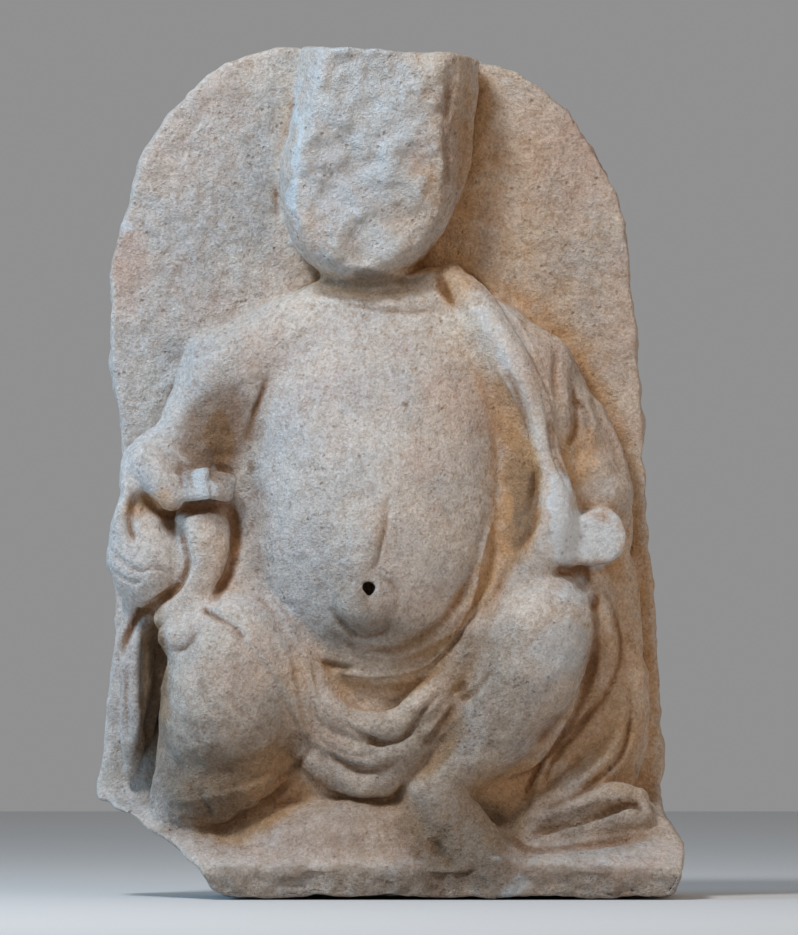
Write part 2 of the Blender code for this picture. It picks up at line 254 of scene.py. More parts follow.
# %% Ledge
LEDGE_REACH, LEDGE_FRONT_HEIGHT, LEDGE_BACK_HEIGHT = 98.0, 17.5, 62.0
LEDGE_SOFT = 9.0
UPRIGHT_TO_SQUARE = 0.92  # a height over the slope is a little more than the distance from it
reach_at = [-LEDGE_SOFT, 0, LEDGE_REACH * 0.40, LEDGE_REACH * 0.78, LEDGE_REACH, LEDGE_REACH + 6]
height_at = [LEDGE_BACK_HEIGHT, LEDGE_BACK_HEIGHT, LEDGE_BACK_HEIGHT * 0.78]
height_at += [LEDGE_FRONT_HEIGHT * 1.70, LEDGE_FRONT_HEIGHT, LEDGE_FRONT_HEIGHT * 0.85]
left_end = (low[0] - LEDGE_SOFT, -LEDGE_SOFT, -LEDGE_SOFT)
right_end = (high[0] + LEDGE_SOFT, REACH + LEDGE_SOFT, LEDGE_BACK_HEIGHT)
place, a, o, u = window(left_end, right_end, LEDGE_SOFT)
slope = (u - np.interp(o, reach_at, height_at)) * UPRIGHT_TO_SQUARE
join(place, np.broadcast_to(slope, stone[place].shape).astype(np.float32), LEDGE_SOFT)
print("ledge: slopes from", LEDGE_BACK_HEIGHT, "to", LEDGE_FRONT_HEIGHT, "mm")

# %% [markdown]
# ## The figure
#
# The figure squats with its knees wide apart. Its right hand holds a purse at the panel's left edge, its left
# arm is under a mantle, and bands of cloth sag between the thighs. Each mass is given once, largest first.

# %% Head and torso
crown = ((1, 12, 524, 52, 52), (-5, 13, 473, 53, 53), (-10, 14, 446, 55, 55), (-12, 14, 424, 54, 54))
chin = ((-14, 15, 402, 48, 48), (-16, 16, 386, 37, 38), (-16, 16, 374, 23, 25), (-16, 16, 367, 9, 10))
column(*reversed(chin), *reversed(crown), soft=7)
limb((43, 14, 520, 12), (41, 16, 470, 11), (38, 18, 440, 10), (36, 18, 426, 8), soft=4)
egg((-7, 10, 352), (38, 28, 26), soft=4)
lower = ((-4, 12, 106, 8, 20), (-4, 12, 116, 25, 42), (-4, 12, 128, 41, 54), (-4, 13, 148, 57, 63))
middle = ((-6, 14, 176, 72, 73), (-8, 14, 212, 81, 77), (-8, 14, 250, 81, 69), (-6, 14, 290, 77, 56))
upper = ((-4, 13, 326, 72, 42), (-5, 12, 352, 58, 28), (-6, 12, 372, 34, 20))
column(*lower, *middle, *upper, soft=10)
limb((-20, 12, 350, 22), (-64, 14, 332, 27), (-98, 15, 313, 27), soft=12)
limb((16, 10, 352, 22), (58, 12, 334, 26), (84, 14, 314, 26), soft=12)
egg((-12, 82, 181), (20, 11, 19), soft=7)
limb((-5, 82, 224, 6), (-14, 84, 206, 7), (-19, 83, 196, 6), soft=7)
print("deepest carving so far:", round(float(out[(stone < 0).any(axis=(0, 2))].max()), 1), "mm out")

# %% The arm with the purse
limb((-97, 16, 315, 27), (-109, 22, 289, 27), (-120, 28, 263, 24), soft=10)
limb((-118, 14, 250, 26), (-126, 14, 200, 28), (-138, 12, 164, 16), soft=8)
limb((-86, 20, 306, 20), (-93, 24, 268, 20), (-94, 24, 240, 18), soft=6)
hand = ((-126, 34, 272, 18), (-146, 36, 256, 19), (-155, 36, 232, 19), (-154, 36, 208, 18))
limb(*hand, (-148, 36, 190, 15), soft=6)
egg((-146, 38, 200), (22, 20, 26), soft=6)
limb((-114, 42, 228, 16), (-111, 42, 206, 18), (-117, 42, 184, 16), (-131, 40, 167, 11), soft=3)
under_thumb = ((-155, 57, 220, 3), (-152, 56, 238, 5), (-142, 54, 233, 7), (-118, 53, 236, 6))
limb(*under_thumb, (-99, 48, 237, 6), soft=3, work=cut)
limb((-146, 48, 263, 12), (-138, 54, 250, 10), (-132, 56, 240, 8), soft=3)
limb((-138, 44, 271, 9), (-126, 47, 260, 9), (-116, 46, 256, 8), soft=5)
lump((-116, 55, 248), (11, 10, 9), turn=-6, swing=-22, edge=2.5, soft=1.5)
lump((-103, 53, 247), (8, 9, 8), turn=8, swing=38, edge=3.0, soft=1.5)
egg((-129, 56, 157), (11, 10, 9), soft=3)
limb((-94, 24, 246, 16), (-92, 28, 212, 20), (-90, 32, 192, 18), soft=5)
limb((-153, 24, 178, 9), (-154, 24, 140, 9), (-154, 16, 100, 8), (-156, 8, 78, 5), soft=5)
limb((-143, 16, 170, 8), (-144, 14, 130, 8), (-149, 8, 100, 6), soft=5)
limb((-149, 9, 178, 13), (-151, 9, 140, 12), (-153, 4, 100, 8), soft=5)

# %% The legs
limb((-38, 32, 108, 28), (-64, 38, 130, 36), (-90, 42, 144, 38), soft=10)
limb((-92, 44, 142, 38), (-97, 48, 118, 41), (-98, 46, 106, 39), soft=12)
egg((-100, 34, 67), (42, 40, 27), turn=-25, soft=8)
limb((-106, 8, 178, 31), (-98, 8, 124, 37), (-76, 8, 106, 26), soft=6)
limb((-119, 34, 120, 16), (-121, 34, 96, 17), (-125, 34, 76, 17), (-127, 30, 58, 17), soft=8)
limb((66, 32, 146, 34), (88, 44, 162, 34), soft=10)
egg((93, 44, 162), (32, 38, 35), soft=8)
limb((86, 50, 154, 35), (78, 52, 132, 34), (64, 54, 106, 27), (48, 54, 86, 21), (28, 54, 66, 18), soft=6)
limb((92, 16, 152, 32), (64, 18, 104, 28), (32, 20, 70, 22), soft=8)
limb((26, 54, 62, 18), (40, 64, 42, 19), (56, 74, 24, 19), soft=6)
egg((60, 82, 18), (22, 15, 13), soft=6)
egg((-25, 30, 30), (72, 56, 32), soft=12)

# %% The cloth
egg((-8, 28, 104), (50, 34, 40), soft=8)
limb((-72, 30, 78, 22), (-24, 36, 68, 18), (20, 36, 70, 20), soft=6)
limb((-66, 6, 84, 26), (-26, 8, 72, 22), (24, 8, 70, 22), soft=6)
limb((-66, 46, 156, 10), (-44, 58, 120, 10), (-20, 64, 104, 9), (4, 66, 105, 9), (17, 66, 114, 9), soft=4)
limb((17, 66, 114, 9), (32, 64, 130, 9), (48, 60, 150, 10), (62, 56, 174, 9), soft=4)
limb((10, 40, 116, 20), (34, 44, 136, 20), (56, 44, 166, 18), (70, 38, 196, 20), soft=6)
limb((-56, 50, 126, 9), (-44, 56, 100, 9), (-24, 62, 87, 9), (-4, 64, 85, 9), (12, 64, 91, 9), soft=3)
limb((12, 64, 91, 9), (26, 62, 104, 9), (40, 58, 120, 9), soft=3)
limb((-58, 42, 104, 9), (-50, 50, 90, 10), (-40, 54, 79, 10), (-22, 58, 71, 10), (-6, 58, 71, 10), soft=3)
limb((-6, 58, 71, 10), (6, 58, 79, 10), (18, 58, 92, 10), (30, 56, 106, 9), soft=3)
limb((-78, 42, 186, 8), (-54, 58, 148, 8), (-42, 58, 112, 8), soft=4)
limb((-99, 46, 178, 8), (-66, 66, 138, 8), (-52, 60, 104, 8), soft=4)
egg((120, 12, 108), (36, 28, 62), soft=8)
limb((118, 34, 190, 14), (126, 32, 160, 13), (124, 31, 130, 12), (106, 34, 102, 11), soft=5)
limb((110, 32, 152, 13), (108, 34, 128, 14), (92, 38, 102, 14), (72, 40, 82, 12), soft=6)
limb((134, 12, 200, 13), (138, 12, 164, 14), (140, 14, 136, 12), soft=6)
limb((146, 16, 134, 9), (141, 22, 102, 12), (126, 32, 78, 13), (102, 42, 58, 12), (84, 48, 42, 10), soft=5)
egg((120, 32, 48), (42, 22, 21), soft=6)
limb((112, 26, 110, 16), (96, 28, 84, 15), (82, 32, 58, 13), soft=6)
limb((36, 32, 58, 18), (50, 32, 64, 21), (70, 32, 58, 18), (84, 34, 40, 13), soft=6)
limb((84, 50, 41, 7), (110, 52, 54, 8), (134, 49, 61, 8), (148, 44, 58, 8), soft=3)
limb((88, 57, 33, 7), (118, 55, 41, 9), (150, 49, 48, 9), soft=3)

# %% The covered arm and the mantle's edge
sleeve = ((84, 14, 314, 26), (98, 11, 290, 27), (108, 10, 266, 27), (117, 14, 242, 25))
limb(*sleeve, (114, 16, 216, 24), soft=8)
limb((28, 18, 364, 14), (60, 26, 334, 20), (84, 30, 300, 20), (94, 34, 262, 19), (98, 36, 226, 18), soft=6)
limb((72, 24, 300, 18), (78, 24, 262, 20), (80, 32, 216, 24), soft=6)
limb((37, 18, 374, 7), (52, 34, 357, 10), (70, 46, 330, 11), (85, 53, 299, 10), (93, 57, 272, 8), soft=5)
limb((93, 57, 272, 8), (98, 59, 246, 11), (96, 58, 222, 15), (84, 56, 196, 12), (72, 54, 182, 8))
limb((118, 28, 252, 16), (129, 27, 243, 16), soft=5)
limb((104, 44, 226, 13), (104, 45, 210, 14), soft=5)
limb((66, 6, 196, 26), (96, 8, 192, 26), (124, 8, 188, 24), soft=5)
egg((112, 40, 214), (18, 15, 17), soft=4)
disc((126, 45, 217), 16.5, 14.0, edge=2.5, soft=2.0)
lump((112, 46, 214), (12, 13, 14.5), turn=4, edge=3.0, soft=3.0)
lump((101, 57, 222), (8, 11, 21), turn=-6, swing=-42, edge=3.0, soft=4.0)
lump((122, 30, 247), (12, 12, 14), turn=-18, edge=5.0, soft=5.0)
limb((99, 22, 324, 7), (103, 32, 298, 8), (104, 32, 276, 6), soft=6)
limb((114, 22, 298, 6), (118, 26, 280, 6), (116, 26, 264, 5), soft=5)
limb((122, 13, 292, 7), (132, 14, 268, 8), (138, 15, 244, 8), (138, 16, 212, 8), soft=5)
print("the figure fills", round(float((stone < 0).mean()) * 100, 1), "% of the grid")


# %% [markdown]
# ## Uneven numbers
#
# Stone is never even. A lattice of random numbers, smoothed in between, gives bumps of any size. The numbers
# come from a fixed seed, so the stone is the same each time.

# %% Noise
def noise(points, size, seed):
    """Smooth random values between -1 and 1 at the points, changing over about the given size."""
    table = np.random.default_rng(seed).uniform(-1, 1, (32, 32, 32)).astype(np.float32)
    scaled = np.asarray(points, dtype=np.float32) / size
    corner = np.floor(scaled).astype(np.int32)
    t = scaled - corner
    t = t * t * (3 - 2 * t)
    total = np.zeros(len(scaled), dtype=np.float32)
    for step in itertools.product((0, 1), repeat=3):
        index = (corner + step) % 32
        weight = np.prod(np.where(np.array(step) == 1, t, 1 - t), axis=1)
        total += weight * table[index[:, 0], index[:, 1], index[:, 2]]
    return total * 1.6


def layered(points, size, seed, layers=3):
    """Noise with finer noise on it."""
    return sum(noise(points, size / 2**n, seed + n) * 0.6**n for n in range(layers))


# %% [markdown]
# ## The face that broke away
#
# The face is lost. What remains is a rough, nearly flat break from the crown to the chin. It is cut as a
# plane that the noise makes uneven.

# %% Face break
BREAK_OUT, BREAK_MIDDLE, BREAK_LEAN_DEGREES = 47.0, 452, 2.0
place, a, o, u = window((-80, 30, 362), (60, REACH, HEIGHT), 8)
shape = stone[place].shape
points = np.stack([np.broadcast_to(c, shape).ravel() for c in (a, o, u)], axis=1)
bumps = (layered(points, 34, 3, 3) * 3.0 + layered(points, 9, 8, 2) * 0.9).reshape(shape)
lean = (u - BREAK_MIDDLE) * math.tan(math.radians(BREAK_LEAN_DEGREES))
cut(place, (BREAK_OUT + lean + bumps - o).astype(np.float32), 3.0)
print("the break lies about", BREAK_OUT, "mm out from the slab")


# %% [markdown]
# ## The drilled hole
#
# There is a drilled hole at the navel, about as wide as a pencil. It is cut after the break, with a sharp
# edge, because it is younger than the wear around it.

# %% Navel hole
NAVEL_HOLE_RADIUS, NAVEL_HOLE_DEPTH = 4.0, 16.0
NAVEL_ACROSS, NAVEL_OUT, NAVEL_UP = -13, 90, 186
hole_end = NAVEL_OUT - NAVEL_HOLE_DEPTH + NAVEL_HOLE_RADIUS
drill = [(NAVEL_ACROSS, reach, NAVEL_UP, NAVEL_HOLE_RADIUS) for reach in (hole_end, NAVEL_OUT + 14)]
limb(*drill, soft=0.8, work=cut)
print("the hole is", NAVEL_HOLE_DEPTH, "mm deep")


# %% [markdown]
# ## The outline of the block
#
# The panel's outline is nearly straight at the sides, round above, broken flat at the crown, and broken away
# at the lower left. It is kept as shares of the width and height, like a drawing that can be scaled.

# %% Outline
def arc(centre, radii, start, end, steps):
    """Points on part of an ellipse, from one angle to another in degrees."""
    angles = np.radians(np.linspace(start, end, steps + 1))
    return [(centre[0] + radii[0] * math.cos(v), centre[1] + radii[1] * math.sin(v)) for v in angles]


outline = [(-1.00, 0.112), (-0.985, 0.175), (-0.968, 0.225), (-0.950, 0.290), (-0.942, 0.345)]
outline += [(-0.950, 0.373), (-0.976, 0.387), (-0.965, 0.416), (-0.950, 0.445), (-0.924, 0.473)]
outline += [(-0.918, 0.504), (-0.925, 0.540), (-0.941, 0.585), (-0.958, 0.628), (-0.963, 0.683)]
outline += [(-0.957, 0.728), (-0.926, 0.786)]
outline += arc((-0.325, 0.757), (0.590, 0.243), 168, 90, 10)
outline += [(-0.095, 0.999), (0.220, 0.991)]
outline += arc((0.246, 0.704), (0.580, 0.284), 78, 6, 10)
outline += [(0.838, 0.706), (0.849, 0.655), (0.857, 0.573), (0.874, 0.510), (0.888, 0.439), (0.897, 0.371)]
outline += [(0.913, 0.331), (0.918, 0.286), (0.929, 0.233), (0.922, 0.204), (0.942, 0.170), (0.939, 0.148)]
outline += [(0.920, 0.132), (0.925, 0.110), (0.945, 0.090), (0.980, 0.076), (1.000, 0.060), (0.992, 0.022)]
outline += [(0.965, 0.003), (0.950, 0.000), (-0.545, 0.000)]
outline += [(-0.605, 0.010), (-0.625, 0.022), (-0.655, 0.035), (-0.695, 0.047), (-0.745, 0.063)]
outline += [(-0.822, 0.078), (-0.862, 0.090), (-0.925, 0.102), (-0.955, 0.111)]
outline = np.array(outline) * (HALF_WIDTH, HEIGHT)


def beyond(points, corners):
    """How far points in the panel's plane lie outside a closed line of corners, below zero inside."""
    gap = np.full(len(points), 1e9)
    inside = np.zeros(len(points), dtype=bool)
    for a, b in zip(corners, np.roll(corners, -1, axis=0)):
        run, rel = b - a, points - a
        t = np.clip(rel @ run / (run @ run), 0, 1)
        gap = np.minimum(gap, np.hypot(*(rel - t[:, None] * run).T))
        crosses = (a[1] > points[:, 1]) != (b[1] > points[:, 1])
        side = a[0] + (points[:, 1] - a[1]) * run[0] / (run[1] if run[1] else 1e-9)
        inside ^= crosses & (points[:, 0] < side)
    return np.where(inside, -gap, gap)


plane = np.stack(np.meshgrid(across, up, indexing="ij"), axis=-1).reshape(-1, 2)
edge = beyond(plane, outline)
ragged = np.column_stack([plane, np.zeros(len(plane))])
INSET, RAGGEDNESS = 0.9, 0.8
edge += INSET + layered(ragged, 22, 40, 3) * RAGGEDNESS
edge = edge.reshape(len(across), 1, len(up)).astype(np.float32)


def trim(distance, soft):
    """Keeps only the stone on the inner side of a surface, with a worn edge."""
    stone[:] = np.maximum(stone, distance) + softened(stone - distance, soft)


FLAT_INSET = 0.4
trim(edge, 3.0)
trim((-SLAB_THICKNESS - out + FLAT_INSET)[None, :, None], 5.0)
trim((FLAT_INSET - up)[None, None, :], 3.0)
trim((out - REACH + FLAT_INSET)[None, :, None], 1.0)
print("outline:", len(outline), "corners")


# %% [markdown]
# ## From distances to a surface
#
# The surface runs where the distance passes zero. Each cell that it crosses gets one point, at the middle of
# the crossings on the cell's edges, and each grid edge that it crosses gets one four-sided face between the
# cells around it. The result is an even net over the whole stone.

# %% Net of faces
def net(field):
    """Points and four-sided faces where the field passes zero."""
    inside = field < 0
    size = np.array(field.shape) - 1
    steps = list(itertools.product((0, 1), repeat=3))
    part = [tuple(slice(s, s + n) for s, n in zip(step, size)) for step in steps]
    count = sum(inside[p].astype(np.uint8) for p in part)
    cells = np.argwhere((count > 0) & (count < 8))
    value = np.stack([field[part[n]][tuple(cells.T)] for n in range(8)], axis=1)
    # The point of a cell: the middle of the places where its edges cross the surface.
    total, crossings = np.zeros((len(cells), 3)), np.zeros(len(cells))
    for m, n in itertools.combinations(range(8), 2):
        first, second = np.array(steps[m]), np.array(steps[n])
        if abs(first - second).sum() == 1:
            crosses = (value[:, m] < 0) != (value[:, n] < 0)
            t = value[:, m] / np.where(crosses, value[:, m] - value[:, n], 1)
            total += np.where(crosses[:, None], first + t[:, None] * (second - first), 0)
            crossings += crosses
    number = np.full(size, -1, dtype=np.int32)
    number[tuple(cells.T)] = np.arange(len(cells))
    # One face around every grid edge that the surface crosses.
    faces = []
    for axis in range(3):
        b, c = (axis + 1) % 3, (axis + 2) % 3
        here = [slice(1, -1)] * 3
        here[axis] = slice(0, -1)
        there = list(here)
        there[axis] = slice(1, None)
        changes = np.argwhere(inside[tuple(here)] != inside[tuple(there)])
        for n in range(3):
            changes[:, n] += here[n].start
        goes_out = inside[tuple(changes.T)]
        ring = []
        for db, dc in ((0, 0), (1, 0), (1, 1), (0, 1)):
            corner = changes.copy()
            corner[:, b] -= 1 - db
            corner[:, c] -= 1 - dc
            ring.append(number[tuple(corner.T)])
        quad = np.stack(ring, axis=1)
        quad[~goes_out] = quad[~goes_out][:, ::-1]
        faces.append(quad)
    spots = cells + total / crossings[:, None]
    return spots * GRAIN + (across[0], out[0], up[0]), np.vstack(faces)


spots, faces = net(stone)
print("net:", len(spots), "points,", len(faces), "faces")


# %% Relax the net
def neighbours(values, pairs, count):
    """The mean of each point's neighbours."""
    total = np.stack([np.bincount(pairs[:, 0], v[pairs[:, 1]], len(values)) for v in values.T], axis=1)
    return total / count[:, None]


pairs = np.vstack([faces[:, [n, (n + 1) % 4]] for n in range(4)])
pairs = np.unique(np.sort(pairs, axis=1), axis=0)
pairs = np.vstack([pairs, pairs[:, ::-1]])
count = np.bincount(pairs[:, 0], minlength=len(spots))
ROUNDS, SHARE = 2, 0.5
for _ in range(ROUNDS):
    spots += SHARE * (neighbours(spots, pairs, count) - spots)
print("relaxed", ROUNDS, "times over", len(pairs) // 2, "edges")


# %% Directions of the surface
def normals(spots, faces):
    """The outward direction at each point."""
    cross = np.cross(spots[faces[:, 2]] - spots[faces[:, 0]], spots[faces[:, 3]] - spots[faces[:, 1]])
    total = np.zeros_like(spots)
    for corner in range(4):
        for axis in range(3):
            total[:, axis] += np.bincount(faces[:, corner], cross[:, axis], len(spots))
    return total / np.maximum(np.linalg.norm(total, axis=1, keepdims=True), 1e-9)


facing = normals(spots, faces)
print("points that face the viewer:", int((facing[:, 1] > 0.3).sum()))

# %% [markdown]
# ## Creases, folds and worn places
#
# The finer carving is drawn on the front like strokes on paper. A flat sheet of numbers, one for each small
# square of the panel's front, says how far the surface rises or sinks there. A stroke is a smooth line with
# a width and a height, a step is the edge of a cloth, and a patch is a soft oval. The sheet then moves the
# points of the net. Heights are in millimetres, and below zero they are cut in.
#
# In the tables that follow, the row of a stroke or a step is its path of (across, up) points, its width, its
# height, and sometimes the share of its length over which its ends fade. The row of a patch is its middle,
# its two radii, its height, and sometimes its turn in degrees and its hardness.

# %% Sheets to draw on
SHEET = 0.8
sheet_across = np.arange(low[0] - 2, high[0] + 2, SHEET)
sheet_up = np.arange(low[2] - 2, high[2] + 2, SHEET)


def blank():
    """A sheet with nothing drawn on it."""
    return np.zeros((len(sheet_across), len(sheet_up)))


def near_line(path, spare):
    """For the squares near a line: their slices, how far off it, on which side and how far along."""
    line = through([(x, 0, z, 0) for x, z in path])[:, [0, 2]]
    lowest, highest = line.min(axis=0) - spare, line.max(axis=0) + spare
    i = slice(*np.searchsorted(sheet_across, (lowest[0], highest[0])))
    k = slice(*np.searchsorted(sheet_up, (lowest[1], highest[1])))
    x, z = sheet_across[i][:, None], sheet_up[k][None, :]
    best = np.full((x.size, z.size), 1e9)
    side, along = np.zeros_like(best), np.zeros_like(best)
    for n, (a, b) in enumerate(zip(line, line[1:])):
        run = b - a
        t = np.clip(((x - a[0]) * run[0] + (z - a[1]) * run[1]) / max(run @ run, 1e-6), 0, 1)
        gap = np.hypot(x - a[0] - t * run[0], z - a[1] - t * run[1])
        closer = gap < best
        best = np.where(closer, gap, best)
        side = np.where(closer, np.sign((x - a[0]) * run[1] - (z - a[1]) * run[0]), side)
        along = np.where(closer, (n + t) / (len(line) - 1), along)
    return (i, k), best, side, along


def taper(along, ends):
    """One along a stroke and zero at its ends."""
    if not ends:
        return 1.0
    return np.clip(np.minimum(along, 1 - along) / ends, 0, 1) ** 0.7


def stroke(sheet, path, width, height, ends=0.2):
    """A groove (height below zero) or a ridge along a path."""
    where, gap, _, along = near_line(path, width * 3)
    sheet[where] += height * np.exp(-((gap / width) ** 2)) * taper(along, ends)


def step(sheet, path, width, height, ends=0.15):
    """An edge of cloth: raised on the right of the path, and fallen off sharply on its left."""
    where, gap, side, along = near_line(path, width * 4)
    raised = np.where(side > 0, np.exp(-gap / width), np.exp(-((gap / (0.22 * width)) ** 2)))
    sunk = np.where(side > 0, 0.0, 0.45 * np.exp(-(((gap - 0.5 * width) / (0.4 * width)) ** 2)))
    sheet[where] += height * (raised - sunk) * taper(along, ends)


def patch(sheet, centre, radii, height, turn=0.0, hard=2.0):
    """A soft oval, raised or sunk. The higher hard is, the flatter its middle and the steeper its rim."""
    x, z = turned(sheet_across[:, None] - centre[0], sheet_up[None, :] - centre[1], turn)
    share = np.hypot(x / radii[0], z / radii[1])
    sheet += height * np.exp(-(share ** (2 * hard)) * 0.7)


def draw(tool, sheet, *rows):
    """Uses stroke, step or patch on a sheet once for every row of values."""
    for row in rows:
        tool(sheet, *row)


def read(sheet, spots):
    """The sheet's values in front of or behind the given points."""
    i = np.clip((spots[:, 0] - sheet_across[0]) / SHEET, 0, len(sheet_across) - 1.001)
    k = np.clip((spots[:, 2] - sheet_up[0]) / SHEET, 0, len(sheet_up) - 1.001)
    i0, k0 = i.astype(int), k.astype(int)
    s, t = i - i0, k - k0
    left = sheet[i0, k0] * (1 - t) + sheet[i0, k0 + 1] * t
    right = sheet[i0 + 1, k0] * (1 - t) + sheet[i0 + 1, k0 + 1] * t
    return left * (1 - s) + right * s


# %% Strokes on the neck, chest and belly
carved = blank()
draw(
    stroke, carved,
    ([(-36, 368), (-9, 363), (18, 366)], 2.2, -2.0),
    ([(-31, 357), (3, 352), (33, 353)], 2.0, -2.2),
    ([(27, 379), (31, 368), (37, 356)], 3.4, -4.0, 0.5),
    ([(30, 375), (34, 364), (42, 350)], 1.8, -3.6, 0.5),
    ([(37, 500), (34, 470), (35, 440), (32, 414)], 2.2, -2.2),
    ([(46, 498), (45, 450), (41, 424)], 2.8, -1.6),
    ([(-43, 143), (-33, 139), (-21, 138)], 2.0, -3.0),
    ([(-33, 138), (-14, 134), (4, 135), (20, 140), (34, 151)], 1.6, 2.6, 0.1),
    ([(-38, 150), (-12, 143), (8, 143), (24, 150), (40, 166)], 2.4, -1.8),
    ([(-30, 130), (-10, 126), (10, 127), (28, 138)], 2.6, -1.6),
    ([(33, 146), (46, 164), (58, 188), (64, 214)], 2.0, -1.6),
    ([(-36, 174), (-30, 166), (-22, 159), (-14, 157), (-4, 160), (3, 168)], 1.9, -3.6),
    ([(3, 168), (5, 178), (2, 188), (-6, 192)], 1.8, -2.2),
    ([(-1, 240), (-3, 222), (-7, 206), (-10, 194)], 1.8, -3.0, 0.4),
    ([(-13, 184), (-12, 179)], 1.4, -2.5),
    ([(-72, 316), (-76, 305), (-81, 291), (-86, 272)], 1.8, -3.0, 0.4),
    ([(-62, 276), (-30, 290), (6, 288), (44, 272)], 9.0, -0.9),
    ([(-105, 428), (-104, 398)], 1.5, -1.4),
    ([(-69, 431), (-68, 404)], 1.5, -1.4),
    ([(99, 419), (98, 401)], 1.5, -1.4),
    ([(-128, 452), (-112, 470)], 1.5, -1.4),
    ([(50, 204), (45, 188), (35, 171), (20, 157), (-1, 149), (-25, 151), (-38, 160)], 2.6, -3.0, 0.3),
    ([(55, 200), (50, 186), (39, 167), (23, 151), (2, 143), (-22, 145)], 2.2, 2.2, 0.3),
)
draw(
    step, carved,
    ([(25, 152), (41, 165), (48, 185), (54, 204), (62, 232)], 5.0, 2.0),
    ([(19, 129), (34, 147), (50, 169), (63, 183), (71, 203)], 6.0, -2.0),
    ([(8, 128), (28, 140), (43, 158), (52, 176), (58, 196)], 4.0, 1.6),
)
draw(
    patch, carved,
    ((-14, 174), (15, 12), 1.6),
    ((-17, 215), (11, 17), 2.2, 18),
)
print("deepest stroke so far:", round(carved.min(), 1), "mm")

# %% Strokes on the purse hand
draw(
    stroke, carved,
    ([(-127, 260), (-125, 244)], 1.6, -1.8),
    ([(-158, 256), (-150, 246), (-146, 236)], 2.0, -1.2),
    ([(-128, 226), (-124, 214), (-122, 199), (-128, 187), (-139, 178), (-151, 170)], 2.2, -4.0),
    ([(-169, 210), (-160, 201), (-150, 196), (-142, 198), (-130, 194)], 1.3, -2.2),
    ([(-166, 196), (-158, 190), (-148, 189)], 1.3, -2.0),
    ([(-96, 240), (-92, 218), (-96, 196), (-108, 176)], 3.0, -4.0),
    ([(-162, 142), (-159, 155), (-151, 169), (-141, 177)], 2.8, -4.5, 0.35),
    ([(-140, 166), (-138, 140), (-141, 112), (-155, 77)], 3.6, -5.0),
    ([(-151, 166), (-153, 140), (-152, 110), (-155, 84)], 2.2, 2.4),
    ([(-147, 160), (-148, 136), (-149, 112)], 1.8, -2.6),
    ([(-158, 140), (-159, 116), (-158, 92)], 1.8, -2.0),
    ([(-131, 147), (-122, 151), (-114, 162)], 1.8, -3.0, 0.3),
    ([(-113, 174), (-103, 168), (-94, 163), (-85, 155)], 1.9, -4.4, 0.1),
    ([(-152, 243), (-156, 224), (-153, 213)], 1.8, -3.2),
    ([(-150, 243), (-141, 233), (-132, 230), (-125, 234), (-100, 235)], 2.0, -3.0),
    ([(-138, 276), (-128, 266), (-118, 260)], 2.0, 1.6),
)
patch(carved, (-106, 277), (22, 32), -2.6, 18, 3)

# %% Strokes on the folded foot
step(carved, [(-128, 58), (-106, 62), (-86, 67), (-66, 80)], 4.0, 2.2)
draw(
    stroke, carved,
    ([(-114, 38), (-92, 47), (-70, 60), (-56, 74)], 2.4, -3.4),
    ([(-122, 70), (-112, 58), (-106, 46)], 2.0, -2.4),
    ([(-96, 128), (-92, 116), (-84, 108)], 2.4, -1.6),
)

# %% Strokes on the lap
draw(
    step, carved,
    ([(-51, 98), (-58, 113), (-69, 134), (-87, 157), (-109, 171)], 6.0, 2.2),
    ([(-40, 104), (-43, 115), (-51, 145), (-62, 164), (-76, 185)], 6.0, 2.4),
)
draw(
    stroke, carved,
    ([(-48, 145), (-42, 118), (-38, 104)], 2.2, -3.2),
    ([(-60, 150), (-54, 122), (-50, 100)], 2.0, -2.2),
    ([(-30, 106), (-12, 95), (-2, 93), (10, 98), (20, 112), (32, 124)], 1.8, -3.4),
    ([(-40, 90), (-30, 82), (-16, 76), (-4, 78), (10, 84)], 1.8, -3.4),
    ([(-48, 106), (-38, 92), (-20, 85), (-6, 88)], 1.6, -1.8),
    ([(42, 118), (52, 126), (64, 140)], 2.0, -2.6),
    ([(20, 90), (30, 102), (40, 118)], 2.4, -3.6),
    ([(-72, 66), (-56, 80), (-48, 92)], 2.4, -2.4),
    ([(-130, 70), (-108, 74), (-86, 82), (-64, 92)], 4.0, -2.0, 0.4),
)

# %% Strokes on the knee and the trailing cloth
step(carved, [(121, 190), (119, 173), (120, 151), (115, 127), (106, 106), (89, 82), (60, 68)], 5.0, 2.4)
draw(
    stroke, carved,
    ([(125, 188), (124, 170), (124, 150), (119, 125), (109, 103), (92, 79)], 2.4, -2.4),
    ([(122, 197), (134, 174), (139, 150), (135, 131), (122, 111), (96, 92)], 1.7, -3.4, 0.3),
    ([(112, 172), (119, 150), (115, 128), (99, 104), (76, 86)], 4.0, -2.4),
    ([(146, 132), (143, 97), (134, 79), (108, 60)], 1.7, -3.6, 0.3),
    ([(141, 128), (137, 98), (124, 78), (100, 62)], 3.6, 2.8),
    ([(126, 121), (113, 99), (97, 80), (92, 64)], 1.8, -3.6),
    ([(104, 96), (88, 76), (80, 58)], 1.8, -3.0),
    ([(98, 88), (90, 68), (88, 54)], 3.0, 2.0),
    ([(82, 38), (102, 43), (120, 48), (144, 56), (152, 52)], 1.7, -5.2, 0.15),
    ([(70, 40), (82, 30), (100, 30), (124, 33), (157, 38)], 1.8, -4.5, 0.1),
    ([(84, 46), (106, 53), (126, 59), (144, 62)], 2.6, 1.8),
    ([(92, 52), (108, 60), (128, 68)], 2.0, -2.6),
    ([(24, 36), (31, 28), (39, 21)], 2.0, -2.8),
)
